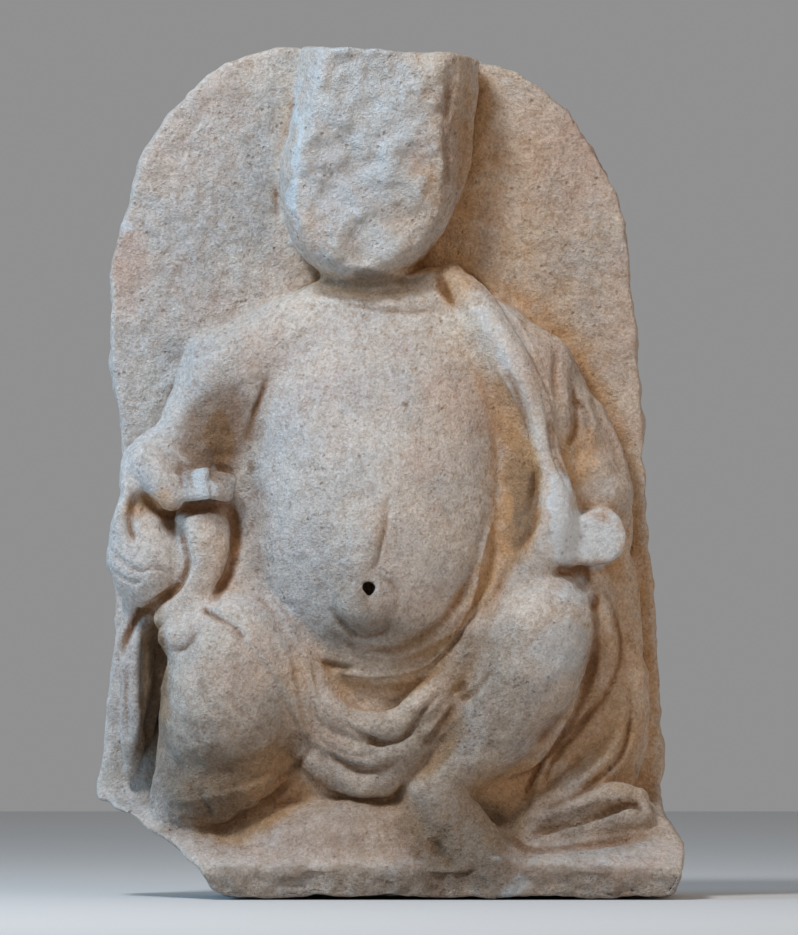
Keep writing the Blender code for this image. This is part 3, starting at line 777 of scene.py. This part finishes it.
draw(
    patch, carved,
    ((103, 149), (18, 21), -1.8, -30, 4),
    ((98, 101), (12, 8), -1.2, -30, 4),
    ((117, 187), (5, 5), -1.8, 0, 3),
    ((121, 178), (5, 5), -1.8, 0, 3),
    ((115, 195), (5, 5), -1.8, 0, 3),
)

# %% Strokes on the mantle and the hand
mantle_edge = [(39, 382), (56, 367), (70, 352), (79, 340), (85, 326), (93, 305), (97, 287), (101, 268)]
step(carved, mantle_edge, 4.0, -2.4)
draw(
    stroke, carved,
    ([(97, 287), (98, 271), (103, 257), (109, 246)], 1.8, -3.4, 0.1),
    ([(60, 336), (68, 320), (76, 303), (83, 284), (88, 262)], 2.4, -2.8, 0.4),
    ([(88, 262), (87, 243), (85, 223), (74, 208)], 3.2, -4.0),
    ([(101, 333), (99, 312), (101, 298)], 1.8, -2.6),
    ([(109, 319), (112, 284), (107, 270)], 2.0, -3.0),
    ([(113, 322), (126, 290), (134, 274), (142, 246)], 2.0, -1.6),
    ([(108, 302), (118, 292), (120, 276)], 2.0, -2.4),
)

# %% [markdown]
# ## Rough and smooth places
#
# The break, the foot, the front of the ledge and the hidden sides are coarse. The hands and the mantle's edge
# are worn smooth. One sheet holds how coarse the front is at each spot, and the noise is stronger where the
# sheet is higher. The back and the sides were only dressed with a point, which leaves short slanting furrows.

# %% Coarse and smooth sheet
coarse = blank() + 1.0
draw(
    patch, coarse,
    ((-118, 380), (46, 90), 0.8, 0, 2),
    ((118, 400), (44, 110), 0.5, 0, 2),
    ((-12, 455), (50, 84), 1.3, 0, 4),
    ((42, 455), (14, 60), 1.2),
    ((-52, 210), (34, 70), 0.7),
    ((20, 8), (200, 9), 2.4, 0, 5),
    ((-100, 272), (24, 40), 1.0),
    ((-10, 80), (56, 30), 0.5),
    ((-108, 60), (32, 26), 2.8),
    ((46, 30), (34, 26), 2.4),
    ((60, 120), (40, 40), 1.0),
    ((120, 60), (34, 34), 0.5),
    ((-100, 130), (40, 30), 0.3),
    ((-152, 245), (18, 36), -0.6),
    ((108, 228), (30, 30), -0.7),
    ((78, 320), (22, 50), -0.35),
)
print("coarseness from", round(coarse.min(), 2), "to", round(coarse.max(), 2))

# %% Move the net
UNSEEN_COARSENESS = 1.2
FURROW_SLANT_DEGREES = 58
toward_front = np.clip((facing[:, 1] - 0.05) / 0.4, 0, 1)
ledge_front = np.clip((spots[:, 1] - REACH + 3) / 2, 0, 1)
rough = read(coarse, spots) * toward_front + UNSEEN_COARSENESS * (1 - toward_front)
# Long waves all over, bumps of two sizes where the stone is coarse, and lumps where it is coarsest.
weather = layered(spots, 26, 50, 3) * 0.55
weather += (noise(spots, 9, 60) * 0.28 + noise(spots, 4.5, 61) * 0.24) * rough
weather += noise(spots, 16, 62) * 0.7 * np.maximum(rough - 1.6, 0)
# Furrows of the point on the back, and weaker ones on the slab's sides.
slant = np.radians(FURROW_SLANT_DEGREES)
along = spots[:, 0] * np.cos(slant) + spots[:, 2] * np.sin(slant)
beside = spots[:, 0] * np.sin(slant) - spots[:, 2] * np.cos(slant)
furrows = noise(np.column_stack([along / 4, beside, spots[:, 1] / 2]), 5, 70)
hidden = np.clip(-facing[:, 1], 0, 1) + 0.6 * (1 - np.abs(facing[:, 1])) * (spots[:, 1] < 4)
weather += hidden * (0.9 * furrows + 0.8 * layered(spots, 45, 71, 2) - 0.9)
weather += ledge_front * (layered(spots * (0.4, 1, 1), 4.5, 75, 2) * 0.8 - 1.4)
spots += facing * (read(carved, spots) * toward_front + weather)[:, None]
spots = np.clip(spots, (low[0], -SLAB_THICKNESS, low[2]), (high[0], REACH, high[2]))
print("weathering moves the surface by up to", round(float(np.abs(weather).max()), 1), "mm")

# %% [markdown]
# ## The piece
#
# The net becomes one mesh. Blender's Decimate modifier then merges the faces where the stone is plain, which
# keeps the piece light without losing its edges.

# %% Make the piece
MOST_TRIANGLES = 190000
mesh = bpy.data.meshes.new("carved_stone")
points = np.column_stack([spots[:, 0], FACE - spots[:, 1], spots[:, 2]]) / 1000
mesh.from_pydata(points.tolist(), [], faces[:, ::-1].tolist())
panel = bpy.data.objects.new("carved_stone", mesh)
bpy.context.scene.collection.objects.link(panel)
thin = panel.modifiers.new("thin", "DECIMATE")
thin.ratio = min(1.0, MOST_TRIANGLES / (2 * len(faces)))
ready = bpy.data.meshes.new_from_object(panel.evaluated_get(bpy.context.evaluated_depsgraph_get()))
panel.modifiers.clear()
panel.data = ready
bpy.data.meshes.remove(mesh)
ready.polygons.foreach_set("use_smooth", np.ones(len(ready.polygons), dtype=bool))
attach(panel, "root")
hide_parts("relief_panel")
triangles = sum(len(face.vertices) - 2 for face in ready.polygons)
print("piece:", len(ready.vertices), "points,", triangles, "triangles")


# %% [markdown]
# ## Where patina and painted shade gather
#
# Rust-coloured patina and painted warm and brown shade lie in the hollows and creases, and edges are rubbed
# pale. All follow from the shape.
# If the block is blurred, a spot just outside a hollow still has much stone around it, and a spot just
# outside an edge has little. So the blurred block, read a few millimetres off the surface, says how sheltered
# each spot is.

# %% Blur the block
def blurred(field, reach):
    """The field averaged over a box of about the given reach, three times over."""
    cells = max(1, round(reach / GRAIN / 2))
    width = 2 * cells + 1
    for axis in (0, 1, 2) * 3:
        spare = [(0, 0)] * 3
        spare[axis] = (cells + 1, cells)
        total = np.cumsum(np.pad(field, spare, mode="edge"), axis=axis, dtype=np.float32)
        total = np.moveaxis(total, axis, 0)
        field = np.moveaxis((total[width:] - total[:-width]) / width, 0, axis)
    return field


def sample(field, points):
    """The field's values at any points, blended from the eight cells around each."""
    scaled = (points - (across[0], out[0], up[0])) / GRAIN
    scaled = np.clip(scaled, 0, np.array(field.shape) - 1.001)
    corner = scaled.astype(int)
    t = scaled - corner
    total = np.zeros(len(points))
    for step in itertools.product((0, 1), repeat=3):
        i, k, m = (corner + step).T
        total += field[i, k, m] * np.prod(np.where(np.array(step) == 1, t, 1 - t), axis=1)
    return total


place_of = np.empty(len(ready.vertices) * 3)
ready.vertices.foreach_get("co", place_of)
place_of = place_of.reshape(-1, 3) * 1000
away = np.empty(len(ready.vertices) * 3)
ready.vertex_normals.foreach_get("vector", away)
away = away.reshape(-1, 3) * (1, -1, 1)
points = np.column_stack([place_of[:, 0], FACE - place_of[:, 1], place_of[:, 2]])

# For each value: how wide the blur is and how far off the surface it is read, in millimetres, then the
# share of stone that counts as nothing and the one that counts as everything.
SHELTERS = {
    "crease": (6, 2.5, 0.27, 0.57),
    "hollow": (18, 8, 0.24, 0.60),
    "shelter": (44, 20, 0.20, 0.50),
    "rubbed": (6, 2.5, 0.20, 0.06),
}
filled = np.clip(0.5 - stone / GRAIN, 0, 1)
values = {}
for name, (blur, off, nothing, everything) in SHELTERS.items():
    share = sample(blurred(filled, blur), points + off * away)
    values[name] = np.clip((share - nothing) / (everything - nothing), 0, 1)
    print(name, "mean", round(float(values[name].mean()), 3))

# %% [markdown]
# ## Stains and painted light
#
# Other colours don't follow from the shape: rosy stains, rusty patina, dark specks, fresh pale chips, worn
# flats and dull grime.
# Painted light is laid on the same sheets too: warm shade in slots, under the chin, thumb, belly and knees
# and on the slab beside the figure, the head's shadow on the slab, stone darker towards the bottom, and
# painted highlights and cool light on some edges and facets. They are painted on sheets like the strokes, and
# broken up by noise so that no edge looks drawn. One more sheet paints the light's colour: cool grey at the
# panel's left, where the cool light falls, and a warm tone on the shaded right.

# %% Painted rust and painted shade
# Most rows paint warm shade: in the slots beside the neck and the mantle, under the chin, thumb, belly and
# knees, in the hanging cloth's channel, and on the slab's right beside the figure. The rest is rusty patina.
rust_and_painted_shade = blank()
draw(
    patch, rust_and_painted_shade,
    ((148, 140), (30, 95), 0.75, 0, 1.5),
    # Painted shadow of the head on the slab.
    ((66, 425), (32, 85), 0.48, 0, 1.2),
    ((118, 330), (46, 120), 0.40, 0, 1.2),
    ((-2, 136), (58, 18), 0.60),
    ((79, 240), (10, 38), 1.10),
    ((70, 286), (8, 22), 0.25, -20),
    ((-90, 92), (40, 20), 0.40, -12),
    ((62, 196), (8, 50), 0.40, 10),
    ((112, 262), (14, 18), 0.60),
    ((-140, 236), (18, 9), 1.00),
    ((-104, 214), (12, 32), 0.55),
    ((-126, 184), (12, 16), 0.45, 35),
    ((-6, 222), (6, 14), 0.45),
    ((38, 370), (10, 18), 0.70),
    ((6, 420), (12, 26), 0.80, 12),
    ((24, 440), (8, 60), 0.35),
    ((-58, 120), (10, 24), 0.35, -25),
    ((64, 46), (12, 16), 0.90),
    ((70, 66), (24, 20), 0.80),
    ((-103, 275), (9, 16), 1.60, 0, 4),
    ((-12, 366), (36, 8), 0.45),
    ((44, 452), (9, 62), 0.45, 0, 2),
    ((112, 96), (34, 30), 0.50),
    ((-70, 62), (30, 12), 0.80, -20),
    ((-30, 38), (80, 16), 0.30),
    ((-106, 60), (28, 18), 0.70),
    ((-76, 78), (24, 11), 1.20, -15),
    ((-80, 50), (30, 10), 0.90, -32),
    ((34, 36), (24, 22), 0.40),
    ((40, 104), (12, 12), 0.60),
    ((-142, 130), (9, 44), 1.20),
)
# Painted warm shade along the folds of the belly and lap and under the folded foot.
draw(
    stroke, rust_and_painted_shade,
    ([(56, 214), (48, 190), (36, 171), (20, 156), (-1, 148)], 4.0, 0.80),
    ([(64, 208), (56, 188), (43, 166), (25, 148), (5, 140)], 3.0, 0.70),
    ([(40, 100), (29, 83), (14, 68)], 5.0, 1.00),
    ([(-56, 84), (-75, 67), (-100, 49), (-128, 38)], 7.0, 1.00),
)
print("strongest rust:", round(rust_and_painted_shade.max(), 2))

# %% Painted rose, pale chips and painted highlights
rose, chips_and_highlights = blank(), blank()
draw(
    patch, rose,
    ((100, 450), (40, 40), 0.45),
    ((140, 350), (22, 60), 0.35),
    ((-158, 378), (12, 30), 0.70),
    ((-162, 150), (12, 50), 0.35),
    ((-40, 38), (100, 20), 0.60),
    ((0, 122), (24, 10), 0.40),
    ((-104, 186), (14, 14), 0.30),
)
draw(
    patch, chips_and_highlights,
    ((-18, 455), (42, 82), 0.72, 0, 3),
    # Painted cool light on the head's left side.
    ((-58, 440), (4, 58), 0.45, 0, 3),
    ((-112, 249), (8, 10), 1.30, 0, 3),
    # Painted cool light on the facet beside the disc.
    ((103, 226), (9, 28), 1.00, 0, 3),
    ((122, 216), (20, 17), 0.90, 0, 4),
    # The next two rows paint highlights along the mantle's edge.
    ((94, 272), (7, 40), 0.45, -12),
    ((66, 340), (12, 30), 0.60, -34),
    # A painted highlight line on the belly.
    ((-27, 202), (6, 2), 0.50, 5),
    ((124, 245), (12, 9), 0.45, 0, 3),
    ((114, 184), (12, 10), 0.70),
    ((103, 150), (17, 19), 0.70, 20, 3),
    ((98, 104), (12, 8), 0.35),
    ((72, 6), (9, 5), 0.90),
    ((-160, 402), (6, 4), 0.80),
    ((120, 26), (60, 8), 0.35, 0, 3),
)
print("strongest chip:", round(chips_and_highlights.max(), 2))

# %% Painted grime and painted shade
# Some rows are real grime and dark specks, such as the small dots at the end; the others paint shade: under
# the chin, in the slot beside the mantle, on the belly, knees, folded foot and hanging cloth, and darker
# towards the bottom.
grime_and_painted_shade = blank()
draw(
    patch, grime_and_painted_shade,
    ((79, 240), (8, 34), 0.95),
    # Painted shadow under the chin.
    ((-10, 367), (38, 8), 1.50, 0, 3),
    ((122, 248), (12, 14), 0.50, 0, 3),
    ((0, 40), (230, 110), 0.32, 0, 1.5),
    ((-120, 110), (50, 70), 0.10),
    ((-114, 66), (26, 20), 0.75),
    ((-142, 128), (10, 44), 0.45),
    ((-104, 280), (24, 34), 0.70, 18, 3),
    ((40, 36), (28, 26), 1.20),
    ((40, 92), (40, 30), 0.35, -35),
    ((60, 150), (22, 40), 0.30),
    ((-14, 90), (54, 34), 0.35),
    ((-12, 212), (60, 60), 0.34, 0, 3),
    ((-118, 104), (52, 62), 0.30, 0, 3),
    ((-94, 98), (44, 26), 0.22),
    ((84, 132), (34, 40), 0.22),
    ((-20, 40), (96, 18), 0.38),
    ((2, 150), (52, 18), 0.55),
    ((-22, 176), (24, 22), 0.35),
    ((116, 44), (44, 18), 0.60),
    ((128, 140), (26, 60), 0.25),
    ((40, 106), (2.2, 2.2), 1.6, 0, 1.5),
    ((35, 98), (2.2, 2.2), 1.6, 0, 1.5),
    ((95, 218), (2.2, 2.2), 1.6, 0, 1.5),
    ((-48, 372), (2.2, 2.2), 1.6, 0, 1.5),
    ((8, 296), (2.2, 2.2), 1.6, 0, 1.5),
    ((-84, 258), (2.2, 2.2), 1.6, 0, 1.5),
)
print("strongest grime:", round(grime_and_painted_shade.max(), 2))

# %% Painted cool light and warm shade
# Painted light: low values paint the cool grey of the light from the left, high values the warm tone of the
# shaded right side.
painted_warm_shade = blank() + np.clip((sheet_across[:, None] + 175) / 190, 0.25, 1)
draw(
    patch, painted_warm_shade,
    ((-12, 455), (50, 84), 0.50, 0, 4),
    ((-96, 120), (44, 50), 0.40),
    ((90, 140), (36, 54), -0.40),
    ((-14, 215), (70, 66), -0.42),
    ((-14, 300), (60, 44), -0.20),
    ((112, 222), (22, 26), -0.40),
)

# %% Keep the values on the mesh
# Hidden sides get a middle value of the painted warm shade.
UNSEEN_WARM_SHADE = 0.5
painted = {"rust_and_painted_shade": rust_and_painted_shade, "rose": rose, "chips_and_highlights": chips_and_highlights, "grime_and_painted_shade": grime_and_painted_shade}
# One on what the front view sees, falling to zero on what faces back.
seen = np.clip((away[:, 1] + 0.35) / 0.5, 0, 1)
for number, (name, sheet) in enumerate(painted.items()):
    values[name] = read(sheet, points + 3 * layered(points, 14, 80 + number, 2)[:, None]) * seen
values["painted_warm_shade"] = read(painted_warm_shade, points) * seen + UNSEEN_WARM_SHADE * (1 - seen)
# The front face of the ledge is darker all along: painted shade, with dirt.
values["grime_and_painted_shade"] += np.clip((points[:, 1] - REACH + 4.5) / 2.5, 0, 1) * 0.6
# Painted shade: the carved grooves, kept so they can be darkened in the colour.
values["groove"] = read(np.clip(-carved / 4, 0, 1), points) * seen
values["coarse"] = read(coarse, points) * seen + UNSEEN_COARSENESS * (1 - seen)
for name, value in values.items():
    ready.attributes.new(name, "FLOAT", "POINT").data.foreach_set("value", value.astype(np.float32))
print("values kept on the mesh:", ", ".join(values))


# %% [markdown]
# ## The stone
#
# Shader maths is easier to read when sockets behave like numbers. The small class below wraps a socket, so
# that a + b or 1 - a makes the Math node and its links.

# %% Sockets that act like numbers
class Wire:
    """An output socket of the stone's node tree."""

    def __init__(self, socket):
        self.socket = socket

    def math(self, operation, *others, swapped=False):
        maths = tree.nodes.new("ShaderNodeMath")
        maths.operation = operation
        terms = (*others, self) if swapped else (self, *others)
        for term, entry in zip(terms, maths.inputs):
            plug(term, entry)
        return Wire(maths.outputs[0])

    def __add__(self, other):
        return self.math("ADD", other)

    def __sub__(self, other):
        return self.math("SUBTRACT", other)

    def __mul__(self, other):
        return self.math("MULTIPLY", other)

    def __rsub__(self, other):
        return self.math("SUBTRACT", other, swapped=True)

    __radd__ = __add__
    __rmul__ = __mul__

    def between(self, start, end):
        """Zero below the start, one above the end, and smooth in between."""
        limits = {"From_Min": start, "From_Max": end}
        return node("ShaderNodeMapRange", interpolation_type="SMOOTHSTEP", Value=self, **limits)["Result"]


def plug(term, entry):
    """Links a wire to an input socket, or sets the socket to a plain value."""
    if isinstance(term, Wire):
        tree.links.new(term.socket, entry)
    else:
        entry.default_value = term


def node(kind, **given):
    """Makes a node. Names that its inputs have are plugged in, and the others are settings."""
    made = tree.nodes.new(kind)
    names = {key.replace("_", " "): key for key in given}
    for name, key in names.items():
        if hasattr(made, key):
            setattr(made, key, given[key])
    for name, key in names.items():
        if not hasattr(made, key):
            plug(given[key], made.inputs[name])
    return {socket.name: Wire(socket) for socket in made.outputs}


def blend(amount, first, second, kind="MIX"):
    """Mixes two colours by an amount."""
    mixer = tree.nodes.new("ShaderNodeMix")
    mixer.data_type, mixer.blend_type = "RGBA", kind
    for term, entry in ((amount, 0), (first, 6), (second, 7)):
        plug(term, mixer.inputs[entry])
    return Wire(mixer.outputs[2])


# %% [markdown]
# ## The colour of the stone
#
# Seen close, the stone is a mix of cream and grey grains with ochre between them and small dark pits. Ochre
# patina lies in its hollows and dull grime on its belly and foot, with painted warm shade in the hollows,
# painted brown shade in the deep creases and grooves, and painted shade on the belly, the foot and towards
# the bottom. A pale cool bloom of chips and rubbed edges shows on its breaks, with painted highlights and
# painted cool light on some edges and facets. A picture wrapped around such a shape would stretch, so the
# colour is built from noise and random cells of several sizes, and the values kept on the mesh say where each
# stain and each painted shade shows. Every blend lays one colour over those before it.

# %% Stone: grain and stains
stuff = bpy.data.materials.new("weathered_stone")
stuff.use_nodes = True
tree = stuff.node_tree
shader = tree.nodes["Principled BSDF"]
where = node("ShaderNodeTexCoord")["Object"]


def kept(name):
    """One of the values kept on the mesh."""
    return node("ShaderNodeAttribute", attribute_name=name)["Fac"]


def clouds(scale, detail=3.0, roughness=0.6):
    """Soft random patches, from 0 to 1."""
    return node("ShaderNodeTexNoise", Vector=where, Scale=scale, Detail=detail, Roughness=roughness)["Fac"]


def cells(scale, output="Distance"):
    """Random cells, such as grains: the distance from their middles, or one random value for each."""
    return node("ShaderNodeTexVoronoi", Vector=where, Scale=scale)[output]


large, middle_size, small, tiny = clouds(11), clouds(46, 4.0), clouds(190, 4.0, 0.75), clouds(620, 3.0, 0.8)
pits = (1 - cells(260).between(0.05, 0.45)) * clouds(90, 3.0, 0.7).between(0.50, 0.68)
worn = clouds(70, 4.0, 0.65)
grains = cells(540, "Color") * 0.6 + cells(900, "Color") * 0.4
print("nodes so far:", len(tree.nodes))

# %% Stone: colour
CREAM = (0.59, 0.515, 0.44, 1)
GREY = (0.43, 0.41, 0.395, 1)
OCHRE = (0.45, 0.262, 0.115, 1)
BROWN = (0.20, 0.095, 0.036, 1)
ROSE = (0.46, 0.32, 0.26, 1)
# PALE is the bluish pale of chips and rubbed edges, also used for painted highlights and painted cool light.
PALE = (0.55, 0.61, 0.66, 1)
DULL = (0.19, 0.145, 0.105, 1)
COOL = (0.46, 0.49, 0.53, 1)
colour = blend((large * 0.6 + middle_size * 0.5).between(0.38, 0.74), CREAM, GREY)
# Painted cool light: the stone turns cool grey where the painted warm shade is low, at the panel's left.
colour = blend((1 - kept("painted_warm_shade")) * 0.55, colour, COOL)
# Ochre grains and rose clouds are stronger where the painted warm shade is high.
colour = blend(small.between(0.48, 0.72) * (0.12 + kept("painted_warm_shade") * 0.28), colour, OCHRE)
colour = blend(clouds(19, 3.0).between(0.46, 0.66) * (0.10 + kept("painted_warm_shade") * 0.30), colour, ROSE)
colour = blend((kept("rose") * (0.45 + worn)).between(0.05, 0.95) * 0.75, colour, ROSE)
# Ochre in hollows and under sheltering masses, stronger on the warm right: partly the stone's ochre patina,
# partly painted warm shade; the rust sheet adds its painted shade here.
patina_and_warm_shade = (kept("hollow") * 0.70 + kept("shelter") * 0.30) * kept("painted_warm_shade") + kept("rust_and_painted_shade") * 0.9
colour = blend((patina_and_warm_shade * (0.25 + worn * 1.4)).between(0.10, 1.20) * 0.85, colour, OCHRE)
# Painted shade: the deepest creases are darkened to brown.
deepest = kept("crease") * kept("hollow")
colour = blend((deepest * (0.6 + worn * 0.9)).between(0.15, 1.0) * 0.85, colour, BROWN)
# Painted shade: the carved grooves are darkened to brown.
colour = blend((kept("groove") * (0.5 + worn)).between(0.10, 0.95) * 0.85, colour, BROWN)
# Dull grime and painted shade.
colour = blend((kept("grime_and_painted_shade") * (0.3 + worn * 1.4)).between(0.10, 1.3) * 0.8, colour, DULL)
# Pale chips, rubbed edges, and painted highlights and cool light.
bare_and_highlit = kept("chips_and_highlights") * (0.5 + worn) + kept("rubbed") * worn * 0.8
colour = blend(bare_and_highlit.between(0.20, 0.95) * 0.8, colour, PALE)
LIGHTER, DARKER = (1.32, 1.31, 1.30, 1), (0.46, 0.44, 0.41, 1)
speckle = tiny.between(0.36, 0.66) * 0.28 + grains.between(0.12, 0.88) * 0.32
speckle += small.between(0.36, 0.68) * 0.20
speckle = speckle * (1 - kept("chips_and_highlights") * 0.35) + kept("chips_and_highlights") * 0.08
colour = blend(1.0, colour, blend(speckle, LIGHTER, DARKER), "MULTIPLY")
colour = blend(pits * 0.45, colour, BROWN)
plug(colour, shader.inputs["Base Color"])

# %% [markdown]
# ## The touch of the stone
#
# Weathered stone hardly shines. Its grain is too fine for the mesh, so a Bump node bends the light as if the
# surface rose and fell by a millimetre or two, and by more where the stone is coarse.

# %% Stone: sheen and grain of the surface
plug(0.86 + tiny * 0.12, shader.inputs["Roughness"])
shader.inputs["Specular IOR Level"].default_value = 0.25
relief = (1 - tiny) * 0.50 + (1 - small) * 1.1 + (1 - middle_size) * 0.5 - pits * 0.5
relief = relief * (0.30 + kept("coarse") * 0.55)
RELIEF_METRES = 0.0021
bump = node("ShaderNodeBump", Strength=1.0, Distance=RELIEF_METRES, Height=relief)["Normal"]
plug(bump, shader.inputs["Normal"])
panel.data.materials.clear()
panel.data.materials.append(stuff)
print("nodes:", len(tree.nodes))

# %% [markdown]
# ## Floor and light
#
# The stone stands in a bright room. A strong white light comes from the upper left, a cool one from the left
# side, and a warm, weaker one from the lower right. Three soft lamps do the same here, on a plain pale floor,
# and an even pale sky fills the rest.

# %% Floor
FLOOR_GAP = 0.0005
HALF_FLOOR = (4.0, 3.0)
x, y = HALF_FLOOR
floor_mesh = bpy.data.meshes.new("floor")
floor_mesh.from_pydata([(-x, -y, 0), (x, -y, 0), (x, y, 0), (-x, y, 0)], [], [(0, 1, 2, 3)])
floor = bpy.data.objects.new("floor", floor_mesh)
bpy.context.scene.collection.objects.link(floor)
floor.location = (0, 0, -FLOOR_GAP)
pale = bpy.data.materials.new("pale_floor")
pale.use_nodes = True
pale.node_tree.nodes["Principled BSDF"].inputs["Base Color"].default_value = (0.62, 0.62, 0.62, 1)
pale.node_tree.nodes["Principled BSDF"].inputs["Roughness"].default_value = 0.8
floor.data.materials.append(pale)


# %% Lights
WHITE, BLUE, AMBER = (0.93, 0.96, 1.0), (0.34, 0.68, 1.0), (1.0, 0.68, 0.43)
MIDDLE = Vector((0, 0, 0.25))


def soft_light(name, position, power, size, tint):
    """A square lamp that faces the middle of the stone. Its power is in watts and its size in metres."""
    light = bpy.data.lights.new(name, "AREA")
    light.energy, light.size, light.color = power, size, tint
    made = bpy.data.objects.new(name, light)
    made.location = position
    made.rotation_euler = (MIDDLE - Vector(position)).to_track_quat("-Z", "Y").to_euler()
    bpy.context.scene.collection.objects.link(made)


soft_light("key", (-0.62, -0.90, 1.55), 21.3, 0.35, WHITE)
soft_light("side", (-2.35, -0.46, 1.12), 27.5, 0.75, BLUE)
soft_light("fill", (1.75, -1.90, 0.72), 13.2, 1.2, AMBER)
sky = bpy.data.worlds.new("studio")
sky.use_nodes = True
sky.node_tree.nodes["Background"].inputs["Color"].default_value = (0.80, 0.80, 0.80, 1)
sky.node_tree.nodes["Background"].inputs["Strength"].default_value = 0.35
bpy.context.scene.world = sky
bpy.context.scene.view_settings.view_transform = "Standard"
